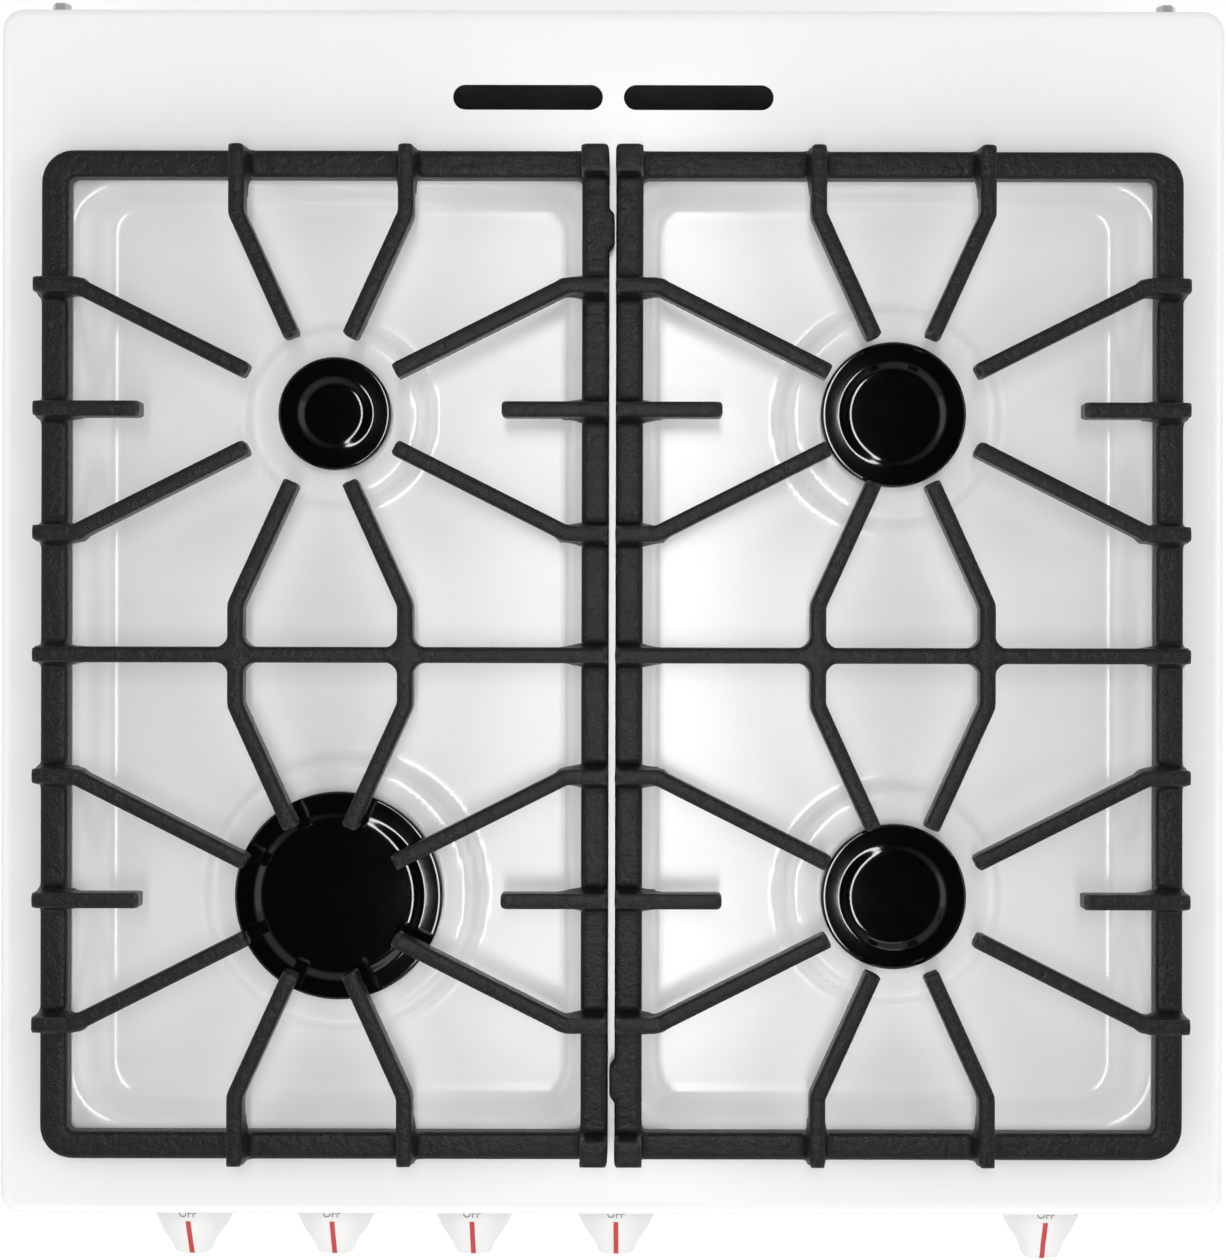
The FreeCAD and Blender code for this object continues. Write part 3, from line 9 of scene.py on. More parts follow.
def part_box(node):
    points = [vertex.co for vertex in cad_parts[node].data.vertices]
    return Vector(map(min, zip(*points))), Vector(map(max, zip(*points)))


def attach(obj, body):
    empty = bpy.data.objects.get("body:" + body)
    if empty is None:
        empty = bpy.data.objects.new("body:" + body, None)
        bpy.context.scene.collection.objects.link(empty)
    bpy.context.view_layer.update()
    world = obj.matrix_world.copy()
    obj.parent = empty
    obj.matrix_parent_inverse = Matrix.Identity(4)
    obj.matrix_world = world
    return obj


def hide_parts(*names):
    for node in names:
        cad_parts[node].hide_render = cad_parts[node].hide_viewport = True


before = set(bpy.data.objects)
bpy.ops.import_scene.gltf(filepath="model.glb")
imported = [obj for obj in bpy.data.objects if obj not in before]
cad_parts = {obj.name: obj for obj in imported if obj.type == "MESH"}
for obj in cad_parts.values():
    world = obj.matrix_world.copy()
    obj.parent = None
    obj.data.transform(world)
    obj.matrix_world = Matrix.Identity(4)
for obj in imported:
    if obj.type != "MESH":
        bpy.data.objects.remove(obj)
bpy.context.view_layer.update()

# ------------------------------------------------------------------ room, camera and lights
# A pale floor under the range, and a camera that looks straight down on the cooktop from a little
# right of its middle. Wide soft light comes from the sides and the front, with a narrow strip
# overhead, so that most level black surfaces stay black.

cooktop_low, cooktop_high = (Vector(corner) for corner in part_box("maintop"))
rim = cooktop_high.z
middle_y = (cooktop_low.y + cooktop_high.y) / 2


def flat_sheet(name, size, height):
    """A level square, centred on the origin."""
    half = size / 2
    mesh = bpy.data.meshes.new(name)
    corners = [(-half, -half, height), (half, -half, height), (half, half, height), (-half, half, height)]
    mesh.from_pydata(corners, [], [(0, 1, 2, 3)])
    sheet = bpy.data.objects.new(name, mesh)
    bpy.context.collection.objects.link(sheet)
    return sheet


def add_camera():
    above_rim = 1.2
    aside = 0.0138
    turned = 0.12
    frame_long = 1260
    millimetres_each = 0.4977
    across, up = 27, 10
    data = bpy.data.cameras.new("camera")
    data.sensor_width = 36
    data.lens = data.sensor_width * above_rim * 1000 / (frame_long * millimetres_each)
    data.shift_x = -across / frame_long
    data.shift_y = up / frame_long
    data.clip_end = 50
    camera = bpy.data.objects.new("camera", data)
    camera.location = (aside, middle_y - aside, rim + above_rim)
    camera.rotation_euler = (0, 0, math.radians(turned))
    bpy.context.collection.objects.link(camera)
    bpy.context.scene.camera = camera


def add_light(name, place, target, size, power):
    data = bpy.data.lights.new(name, "AREA")
    data.shape = "RECTANGLE"
    data.size, data.size_y = size
    data.energy = power
    light = bpy.data.objects.new(name, data)
    light.location = place
    aim = Vector(target) - Vector(place)
    light.rotation_euler = aim.to_track_quat("-Z", "Y").to_euler()
    bpy.context.collection.objects.link(light)


add_camera()
top = (0, middle_y, rim)
add_light("left_bank", (-2.4, 0.1, 2.6), top, (1.6, 2.4), 9)
add_light("right_bank", (2.4, 0.1, 2.6), top, (1.6, 2.4), 12)
add_light("front_bank", (0, -2.6, 2.0), (0, 0, 0.75), (3.0, 1.2), 18)
add_light("middle_strip", (0, middle_y, rim + 2.2), top, (0.16, 1.4), 18)
add_light("front_card", (0.2, -1.25, rim + 2.2), top, (0.7, 0.3), 1)
room = bpy.data.worlds.new("room")
room.use_nodes = True
sky, joins = room.node_tree.nodes, room.node_tree.links
direction = sky.new("ShaderNodeTexCoord")
parts = sky.new("ShaderNodeSeparateXYZ")
overhead = sky.new("ShaderNodeValToRGB")
overhead.color_ramp.elements[0].position = 0.82
overhead.color_ramp.elements[0].color = (1, 1, 1, 1)
overhead.color_ramp.elements[1].position = 0.94
overhead.color_ramp.elements[1].color = (0, 0, 0, 1)
joins.new(direction.outputs["Generated"], parts.inputs["Vector"])
joins.new(parts.outputs["Z"], overhead.inputs["Fac"])
joins.new(overhead.outputs["Color"], sky["Background"].inputs["Color"])
sky["Background"].inputs["Strength"].default_value = 0.68
bpy.context.scene.world = room
bpy.context.scene.view_settings.view_transform = "Standard"


class Value:
    """One output in a finish's node tree. Sums and products of these add Math nodes."""

    def __init__(self, finish, socket):
        self.finish = finish
        self.socket = socket

    def math(self, operation, first, second):
        return self.finish.node("Math", {"operation": operation}, {0: first, 1: second})

    def __add__(self, other):
        return self.math("ADD", self, other)

    def __mul__(self, other):
        return self.math("MULTIPLY", self, other)

    __radd__ = __add__
    __rmul__ = __mul__


class Finish:
    """A material in the making: its node tree, with one Principled shader."""

    def __init__(self, name, **fixed):
        self.material = bpy.data.materials.new(name)
        self.material.use_nodes = True
        self.tree = self.material.node_tree
        self.shader = self.tree.nodes["Principled BSDF"]
        for socket, amount in fixed.items():
            self.shader.inputs[socket.replace("_", " ")].default_value = amount

    def node(self, kind, settings=(), sockets=(), out=0):
        """Add any node: its settings first, then the values or links of its sockets."""
        node = self.tree.nodes.new(f"ShaderNode{kind}")
        for setting, choice in dict(settings).items():
            if setting == "stops":
                self.set_stops(node.color_ramp, choice)
            else:
                setattr(node, setting, choice)
        for key, amount in dict(sockets).items():
            self.feed(node.inputs[key], amount)
        return Value(self, node.outputs[out])

    def feed(self, socket, amount):
        if isinstance(amount, Value):
            self.tree.links.new(amount.socket, socket)
        else:
            socket.default_value = amount

    def set_stops(self, ramp, stops):
        while len(ramp.elements) < len(stops):
            ramp.elements.new(0.5)
        for element, (place, colour) in zip(ramp.elements, stops):
            element.position = place
            element.color = (*colour, 1) if len(colour) == 3 else colour

    def place(self):
        return self.node("TexCoord", out="Object")

    def noise(self, scale, detail=3, roughness=0.55):
        settings = {"Vector": self.place(), "Scale": scale, "Detail": detail, "Roughness": roughness}
        return self.node("TexNoise", {}, settings, out="Fac")

    def grains(self, scale, out="Distance"):
        return self.node("TexVoronoi", {}, {"Vector": self.place(), "Scale": scale}, out=out)

    def blend(self, share, one, other):
        one, other = (tone if isinstance(tone, Value) else (*tone, 1) for tone in (one, other))
        return self.node("Mix", {"data_type": "RGBA"}, {"Factor": share, 6: one, 7: other}, out=2)

    def colour(self, value):
        self.feed(self.shader.inputs["Base Color"], value)

    def rough(self, value):
        self.feed(self.shader.inputs["Roughness"], value)

    def bump(self, height, depth, strength=1.0):
        normal = self.node("Bump", {}, {"Height": height, "Distance": depth, "Strength": strength})
        self.feed(self.shader.inputs["Normal"], normal)


def floor_finish():
    finish = Finish("studio_floor", Specular_IOR_Level=0.2, Emission_Strength=0.25)
    finish.shader.inputs["Emission Color"].default_value = (1, 1, 1, 1)
    finish.colour(finish.blend(finish.noise(2), (0.93, 0.93, 0.93), (0.9, 0.9, 0.9)))
    finish.rough(0.6 + 0.1 * finish.noise(40))
    return finish.material


floor = flat_sheet("studio_floor", 14, 0)
floor.data.materials.append(floor_finish())

# ------------------------------------------------------------------ legs, base frame and body panels
# The range stands on four black plastic feet, screwed up through a folded frame of galvanised
# steel. White porcelain side panels and a galvanised back are screwed to that frame.


def dress(material, *nodes):
    """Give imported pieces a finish."""
    for node in nodes:
        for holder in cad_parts[node].material_slots:
            holder.material = material


def porcelain(name, light):
    """White glass enamel on steel: faint unevenness, and a skin like orange peel."""
    finish = Finish(name, Coat_Weight=0.2, Coat_Roughness=0.16)
    dull = light * 0.99
    finish.colour(finish.blend(finish.noise(3, 1), (light, light, light), (dull, dull, dull)))
    finish.rough(0.2 + 0.03 * finish.noise(30, 2))
    finish.bump(finish.noise(230, 2, 0.4), 0.0001, 0.12)
    return finish.material


def galvanised(name):
    """Zinc-coated sheet with its spangle of crystals."""
    finish = Finish(name, Metallic=0.85)
    crystal = finish.grains(130, "Color")
    tone = finish.node("SeparateColor", {}, {"Color": crystal}, out="Red")
    finish.colour(finish.blend(tone, (0.46, 0.47, 0.48), (0.56, 0.57, 0.58)))
    finish.rough(0.32 + 0.2 * tone + 0.1 * finish.noise(20))
    finish.bump(tone + 0.5 * finish.noise(300), 0.0003, 0.25)
    return finish.material


def moulded(name, one, other, rough=0.45, grain=600):
    """Moulded plastic or rubber with a fine grain."""
    finish = Finish(name)
    finish.colour(finish.blend(finish.noise(30, 4), one, other))
    finish.rough(rough + 0.12 * finish.noise(grain / 4))
    finish.bump(finish.noise(grain, 2), 0.0002, 0.3)
    return finish.material


side_porcelain = porcelain("panel_porcelain", 0.84)
zinc = galvanised("zinc_sheet")
dress(side_porcelain, "side_panel_left", "side_panel_right")
dress(zinc, "base_frame", "back_panel", "drawer_rails")
dress(moulded("foot_plastic", (0.02, 0.02, 0.02), (0.035, 0.035, 0.035)), "leveling_legs")


def box_of(node):
    low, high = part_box(node)
    return Vector(low), Vector(high)


def piece_from(name, mesh, material, slot, body, *nodes):
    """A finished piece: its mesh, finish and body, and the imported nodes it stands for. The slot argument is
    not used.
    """
    piece = bpy.data.objects.new(name, mesh)
    bpy.context.collection.objects.link(piece)
    mesh.materials.clear()
    mesh.materials.append(material)
    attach(piece, body)
    if nodes:
        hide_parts(*nodes)
    return piece


def settled(work):
    """The plain mesh that an object's modifiers make of it. The object itself is removed."""
    bpy.context.view_layer.update()
    graph = bpy.context.evaluated_depsgraph_get()
    mesh = bpy.data.meshes.new_from_object(work.evaluated_get(graph), depsgraph=graph)
    bpy.data.objects.remove(work)
    return mesh


def bench(name, mesh):
    """An object to work on before its mesh is settled."""
    work = bpy.data.objects.new(name, mesh)
    bpy.context.collection.objects.link(work)
    return work


def smooth(mesh, angle=40):
    """Shade a mesh smooth, apart from its edges sharper than an angle."""
    mesh.shade_smooth()
    mesh.set_sharp_from_angle(angle=math.radians(angle))
    return mesh


def mesh_from(name, form):
    """The mesh of a bmesh, which is freed."""
    mesh = bpy.data.meshes.new(name)
    form.to_mesh(mesh)
    form.free()
    return mesh


def mesh_of(name, form):
    """The mesh of a bmesh with its faces turned outwards."""
    bmesh.ops.recalc_face_normals(form, faces=form.faces)
    return mesh_from(name, form)


def join(form, part):
    """Add one bmesh to another."""
    spare = mesh_from("spare", part)
    form.from_mesh(spare)
    bpy.data.meshes.remove(spare)


def moved(form, place, turn=0, axis="Z"):
    """Turn a bmesh about an axis through the origin, and then move it to a place."""
    matrix = Matrix.Translation(place) @ Matrix.Rotation(turn, 4, axis)
    bmesh.ops.transform(form, matrix=matrix, verts=form.verts)
    return form


def loft(form, rings, last=True):
    """Faces over the first ring of vertices, between the rings, and over the last one."""
    form.faces.new(rings[0])
    if last:
        form.faces.new(rings[-1][::-1])
    for near, far in zip(rings, rings[1:]):
        for k in range(len(near)):
            following = (k + 1) % len(near)
            form.faces.new((near[k], near[following], far[following], far[k]))


def scatter(name, stud, places, turns, material):
    """Copies of a small mesh at points, made by a geometry node tree and settled."""
    points = bpy.data.meshes.new(f"{name}_points")
    points.from_pydata([tuple(place) for place in places], [], [])
    points.attributes.new("turn", "FLOAT_VECTOR", "POINT")
    points.attributes["turn"].data.foreach_set("vector", [part for turn in turns for part in turn])
    work = bench(f"{name}_work", points)
    source = bench(f"{name}_stud", stud)
    tree = bpy.data.node_groups.new(f"{name}_tree", "GeometryNodeTree")
    make = tree.nodes.new
    tree.interface.new_socket("Geometry", in_out="INPUT", socket_type="NodeSocketGeometry")
    piece_in = tree.interface.new_socket("Stud", in_out="INPUT", socket_type="NodeSocketObject")
    size_in = tree.interface.new_socket("Size", in_out="INPUT", socket_type="NodeSocketFloat")
    skin_in = tree.interface.new_socket("Finish", in_out="INPUT", socket_type="NodeSocketMaterial")
    tree.interface.new_socket("Geometry", in_out="OUTPUT", socket_type="NodeSocketGeometry")
    inputs, outputs = make("NodeGroupInput"), make("NodeGroupOutput")
    info = make("GeometryNodeObjectInfo")
    turn = make("GeometryNodeInputNamedAttribute")
    turn.data_type = "FLOAT_VECTOR"
    turn.inputs["Name"].default_value = "turn"
    rotate = make("FunctionNodeEulerToRotation")
    copy = make("GeometryNodeInstanceOnPoints")
    real = make("GeometryNodeRealizeInstances")
    paint = make("GeometryNodeSetMaterial")
    wires = ((inputs, "Stud", info, "Object"), (inputs, "Geometry", copy, "Points"),
             (info, "Geometry", copy, "Instance"), (turn, "Attribute", rotate, "Euler"),
             (rotate, "Rotation", copy, "Rotation"), (inputs, "Size", copy, "Scale"),
             (copy, "Instances", real, "Geometry"), (real, "Geometry", paint, "Geometry"),
             (inputs, "Finish", paint, "Material"), (paint, "Geometry", outputs, "Geometry"))
    for giver, output, taker, entry in wires:
        tree.links.new(giver.outputs[output], taker.inputs[entry])
    modifier = work.modifiers.new("copies", "NODES")
    modifier.node_group = tree
    modifier[piece_in.identifier] = source
    modifier[size_in.identifier] = 1.0
    modifier[skin_in.identifier] = material
    mesh = settled(work)
    bpy.data.objects.remove(source)
    return mesh


def turned_profile(profile, steps):
    """A bmesh turned about Z from (radius, height) pairs; a radius of 0 closes the shape."""
    form = bmesh.new()
    rings = []
    for radius, height in profile:
        if radius == 0:
            rings.append([form.verts.new((0, 0, height))])
        else:
            rings.append([form.verts.new((radius * math.cos(math.tau * k / steps),
                                          radius * math.sin(math.tau * k / steps), height))
                          for k in range(steps)])
    for lower, upper in zip(rings, rings[1:]):
        for k in range(steps):
            following = (k + 1) % steps
            corners = [lower[k % len(lower)], lower[following % len(lower)],
                       upper[following % len(upper)], upper[k % len(upper)]]
            form.faces.new(list(dict.fromkeys(corners)))
    return form


def hex_screw():
    """The head of a hex washer screw, standing on XY."""
    form = turned_profile([(0, 0), (0.0045, 0), (0.0048, 0.0004), (0.0044, 0.001), (0.0034, 0.0011),
                           (0, 0.0011)], 24)
    head = turned_profile([(0, 0.001), (0.0032, 0.001), (0.0032, 0.0034), (0.0028, 0.0038),
                           (0.0019, 0.0036), (0, 0.0036)], 6)
    join(form, head)
    return mesh_of("hex_screw", form)


def screw_steel():
    finish = Finish("screw_steel", Metallic=1.0)
    finish.colour(finish.blend(finish.noise(400), (0.5, 0.5, 0.51), (0.62, 0.62, 0.63)))
    finish.rough(0.25 + 0.2 * finish.noise(700))
    finish.bump(finish.noise(1500), 0.0001, 0.2)
    return finish.material


plated = screw_steel()
back_low, back_high = box_of("back_panel")
from_foot, from_top, from_side, from_corner = 0.012, 0.06, 0.009, 0.1
screw_rows = np.linspace(back_low.z + from_foot, back_high.z - from_top, 7)
screw_columns = np.linspace(back_low.x + from_corner, back_high.x - from_corner, 5)
side_x = back_high.x - from_side
back_screws = [(sign * side_x, back_high.y, row) for sign in (-1, 1) for row in screw_rows]
back_screws += [(column, back_high.y, back_low.z + from_foot) for column in screw_columns]
away_back = (-math.pi / 2, 0, 0)
screws = scatter("back_screws", hex_screw(), back_screws, [away_back] * len(back_screws), plated)
piece_from("back_panel_screws", smooth(screws), plated, "screw_steel", "body")

# ------------------------------------------------------------------ oven
# A box of steel with black speckled enamel, wrapped in a glass-fibre blanket. A burner tube
# lies under its floor, and a galvanised duct takes its fumes up to the cooktop.


def speckled(name):
    """Dark oven enamel with pale specks."""
    finish = Finish(name)
    specks = finish.node("Math", {"operation": "LESS_THAN"}, {0: finish.grains(420), 1: 0.16})
    finish.colour(finish.blend(specks * (0.4 + 0.6 * finish.noise(90)),
                               (0.012, 0.013, 0.016), (0.42, 0.44, 0.47)))
    finish.rough(0.22 + 0.15 * finish.noise(60))
    finish.bump(finish.noise(260, 2), 0.0004, 0.25)
    return finish.material


def fibre(name, one, other):
    """A matted or woven fibre."""
    finish = Finish(name)
    finish.colour(finish.blend(finish.noise(160, 6, 0.7), one, other))
    finish.rough(0.85 + 0.1 * finish.noise(90))
    finish.bump(finish.noise(220, 5, 0.7), 0.002, 0.7)
    return finish.material


def bare_metal(name, one, other, rough, grain=350):
    """Bare or plated metal."""
    finish = Finish(name, Metallic=1.0)
    finish.colour(finish.blend(finish.noise(40, 4), one, other))
    finish.rough(rough + 0.14 * finish.noise(grain))
    finish.bump(finish.noise(grain * 3, 2), 0.0001, 0.25)
    return finish.material


enamel = speckled("oven_enamel")
dress(enamel, "oven_wrapper", "oven_back_wall", "oven_floor_panel")
dress(zinc, "vent_duct", "oven_front_frame", "door_hinge_brackets", "door_hinge_plates")
dress(fibre("blanket_fibre", (0.52, 0.5, 0.36), (0.72, 0.7, 0.55)), "oven_insulation")
dress(fibre("gasket_fibre", (0.1, 0.1, 0.1), (0.22, 0.22, 0.21)), "door_gasket")
dress(bare_metal("aluminised_tube", (0.45, 0.45, 0.46), (0.58, 0.58, 0.58), 0.38), "oven_tube_burner")
dress(bare_metal("rack_chrome", (0.62, 0.62, 0.63), (0.7, 0.7, 0.7), 0.12), "oven_rack_lower",
      "oven_rack_upper")

# ------------------------------------------------------------------ oven door
# A folded pan of white porcelain steel with rolled edges, a speckled liner, and two panes of
# glass, the outer one tinted. A white bar handle is screwed to it on two moulded posts.


def rounded_outline(half_x, half_z, radius, steps=6):
    """A rectangle with round corners, counterclockwise seen from the front."""
    points = []
    for corner_x, corner_z, start in ((1, 1, 0), (-1, 1, 90), (-1, -1, 180), (1, -1, 270)):
        for step in range(steps + 1):
            angle = math.radians(start + 90 * step / steps)
            points.append((corner_x * (half_x - radius) + radius * math.cos(angle),
                           corner_z * (half_z - radius) + radius * math.sin(angle)))
    return points


def pan(name, low, high, corner, roll, wall):
    """An open-backed pan between two corners of a box: its front edges are rolled."""
    middle_x, middle_z = (low.x + high.x) / 2, (low.z + high.z) / 2
    half_x, half_z = (high.x - low.x) / 2, (high.z - low.z) / 2
    form = bmesh.new()
    rings = []
    levels = [(roll * (1 - math.cos(math.radians(angle))), roll * (1 - math.sin(math.radians(angle))))
              for angle in (90, 70, 50, 30, 15, 0)]
    levels.append((0, high.y - low.y))
    for inset, depth in levels:
        outline = rounded_outline(half_x - inset, half_z - inset, corner - inset)
        rings.append([form.verts.new((middle_x + x, low.y + depth, middle_z + z)) for x, z in outline])
    loft(form, rings, last=False)
    bmesh.ops.recalc_face_normals(form, faces=form.faces)
    if sum(face.normal.y for face in form.faces if len(face.verts) > 4) > 0:
        bmesh.ops.reverse_faces(form, faces=form.faces)
    work = bench(name, mesh_from(name, form))
    thick = work.modifiers.new("wall", "SOLIDIFY")
    thick.thickness = wall
    thick.offset = -1
    return work


def wedge(form, low_plan, high_plan, low, high):
    """Add a closed prism whose top plan may differ from its bottom plan."""
    rings = [[form.verts.new((x, y, z)) for x, y in plan] for plan, z in ((low_plan, low), (high_plan, high))]
    form.faces.new(rings[0][::-1])
    form.faces.new(rings[1])
    for k in range(len(rings[0])):
        following = (k + 1) % len(rings[0])
        form.faces.new((rings[0][k], rings[0][following], rings[1][following], rings[1][k]))


def add_block(form, low, high):
    """Add a plain block between two corners to a bmesh."""
    plan = [(low[0], low[1]), (high[0], low[1]), (high[0], high[1]), (low[0], high[1])]
    wedge(form, plan, plan, low[2], high[2])


def add_prism(form, outline, direction):
    """Add a closed prism over an outline of points to a bmesh."""
    near = [form.verts.new(point) for point in outline]
    far = [form.verts.new(Vector(point) + Vector(direction)) for point in outline]
    form.faces.new(near)
    form.faces.new(far[::-1])
    for k in range(len(near)):
        following = (k + 1) % len(near)
        form.faces.new((near[k], far[k], far[following], near[following]))


def cut_away(work, name, form):
    """Cut a work object with the closed shapes of a bmesh, and return the settled mesh."""
    cutter = bench(f"{name}_cutter", mesh_of(f"{name}_cutter", form))
    cut = work.modifiers.new("cut", "BOOLEAN")
    cut.operation = "DIFFERENCE"
    cut.solver = "EXACT"
    cut.object = cutter
    mesh = settled(work)
    bpy.data.objects.remove(cutter)
    return mesh


wall = 0.0012
past = 0.01
almost = 0.00001
door_low, door_high = box_of("door_outer_panel")
pane_low, pane_high = box_of("door_outer_glass")
glass_lap, window_corner = 0.012, 0.012
pan_corner, pan_roll = 0.006, 0.0045
door_pan = pan("door_pan", door_low, door_high, pan_corner, pan_roll, wall)
opening = bmesh.new()
window_middle = (pane_low + pane_high) / 2
window = rounded_outline((pane_high.x - pane_low.x) / 2 - glass_lap,
                         (pane_high.z - pane_low.z) / 2 - glass_lap, window_corner, 8)
add_prism(opening, [(window_middle.x + x, door_low.y - past, window_middle.z + z) for x, z in window],
          (0, past + 5 * wall, 0))
hinge_x, slot_half, hinge_top = 0.262, 0.007, 0.035
for sign in (-1, 1):
    add_block(opening, (sign * hinge_x - slot_half, door_low.y + 3 * wall, door_low.z - past),
              (sign * hinge_x + slot_half, door_high.y + past, door_low.z + hinge_top))
piece_from("oven_door_pan", smooth(cut_away(door_pan, "door", opening), 30), side_porcelain,
           "porcelain_panel", "door", "door_outer_panel")
dress(enamel, "door_inner_liner")


def tinted_glass(name, dark, clear):
    """Door glass with a dark tint, and a faint smear of handling."""
    finish = Finish(name, Transmission_Weight=clear, IOR=1.5, Coat_Weight=0.2)
    finish.colour(finish.blend(finish.noise(5), dark, tuple(part * 1.3 for part in dark)))
    finish.rough(0.03 + 0.05 * finish.noise(12, 5))
    finish.bump(finish.noise(4, 1), 0.001, 0.03)
    return finish.material


dress(tinted_glass("outer_window_glass", (0.012, 0.012, 0.013), 0.35), "door_outer_glass")
dress(tinted_glass("inner_window_glass", (0.5, 0.52, 0.5), 0.85), "door_inner_glass")

bar_low, bar_high = box_of("door_handle_bar")
bar_radius = (bar_high.z - bar_low.z) / 2
bar_half = (bar_high.x - bar_low.x) / 2
end_round, waist = 0.007, 0.985
bar_profile = [(0, -bar_half)]
bar_profile += [(bar_radius - end_round * (1 - math.sin(math.radians(a))),
                 -bar_half + end_round * (1 - math.cos(math.radians(a)))) for a in (0, 25, 50, 70, 90)]
bar_profile += [(bar_radius * waist, 0)]
bar_profile += [(radius, -along) for radius, along in reversed(bar_profile[:-1])]
bar = moved(turned_profile(bar_profile, 40), (bar_low + bar_high) / 2, math.pi / 2, "Y")
handle_white = moulded("handle_plastic", (0.8, 0.8, 0.79), (0.75, 0.75, 0.74), 0.3, 400)
piece_from("door_handle", smooth(mesh_of("door_handle", bar)), handle_white, "handle_plastic", "door",
           "door_handle_bar")
posts = bmesh.new()
mount_high = box_of("door_handle_mounts")[1]
post_inset, post_corner = 0.007, 0.005
post_sections = ((0, 0.0135, 0.0115), (0.0025, 0.0132, 0.0112), (0.009, 0.0095, 0.0082),
                 (0.018, 0.0078, 0.0066), (0.026, 0.0082, 0.0064))
for sign in (-1, 1):
    post_x, post_z = sign * (mount_high.x - post_inset), (bar_low.z + bar_high.z) / 2
    rings = []
    for depth, half_x, half_z in post_sections:
        outline = rounded_outline(half_x, half_z, post_corner, 4)
        rings.append([posts.verts.new((post_x + x, door_low.y - depth, post_z + z)) for x, z in outline])
    loft(posts, rings)
piece_from("door_handle_posts", smooth(mesh_of("door_handle_posts", posts), 35), handle_white,
           "handle_plastic", "door", "door_handle_mounts")

# ------------------------------------------------------------------ drawer
# A folded front of white porcelain steel, like the door's, screwed to an open tray that is
# painted grey and slides on two rails.

drawer_low, drawer_high = box_of("drawer_front")
drawer_mesh = settled(pan("drawer_pan", drawer_low, drawer_high, pan_corner, pan_roll, wall))
piece_from("storage_drawer_front", smooth(drawer_mesh, 30), side_porcelain, "porcelain_panel", "drawer",
           "drawer_front")
dress(moulded("drawer_paint", (0.3, 0.31, 0.32), (0.34, 0.35, 0.36), 0.4, 300), "drawer_tray")

# ------------------------------------------------------------------ cooktop
# One pressing of thick white porcelain steel: rolled edges and a skirt, two shallow wells with
# a ridge between them, a raised ring round each burner, and two vent slots at the back.

well_depth = 0.012
skirt_round = 0.005
plan_corner = 0.011
well_rim, well_slope = 0.2695, 0.0208
ridge_half, ridge_slope = 0.008, 0.014
back_rim, back_slope = 0.216, 0.0154
front_rim, front_slope = 0.259, 0.0204
corner_ease = 1.6
mound_height, mound_slope = 0.006, 0.007
hole_radius = 0.0163
grid_step = 0.003
edge_lines = (0, 0.00038, 0.00146, 0.00309, 0.005, 0.007, 0.009, 0.011)

burner_places = {}
for burner, mound in (("left_rear", 0.048), ("left_front", 0.071), ("right_rear", 0.0575),
                      ("right_front", 0.0575)):
    low, high = box_of(f"burner_cap_{burner}")
    burner_places[burner] = ((low.x + high.x) / 2, (low.y + high.y) / 2, (high.x - low.x) / 2, mound)


def eased(share):
    """0 to 1 with a soft start and end."""
    share = np.clip(share, 0, 1)
    return share * share * (3 - 2 * share)


def cooktop_height(x, y):
    """Height of the pressing at a place, from the centre of the cooktop."""
    across = np.minimum((well_rim - abs(x)) / well_slope, (abs(x) - ridge_half) / ridge_slope)
    along = np.minimum((back_rim - y) / back_slope, (y + front_rim) / front_slope)
    corner = np.hypot(np.maximum(corner_ease - across, 0), np.maximum(corner_ease - along, 0))
    height = rim - well_depth * eased(corner_ease - corner)
    for burner_x, burner_y, _, mound in burner_places.values():
        reach = np.hypot(x - burner_x, y + middle_y - burner_y)
        height = height + mound_height * eased((mound - reach) / mound_slope)
    return height


def grid_lines(half):
    """Grid lines across the cooktop: close together on the rolled edges."""
    edge = [-half + distance for distance in edge_lines]
    inner = np.linspace(edge[-1], -edge[-1], round(2 * -edge[-1] / grid_step) + 1)
    return np.array(edge[:-1] + list(inner) + [-line for line in reversed(edge[:-1])])


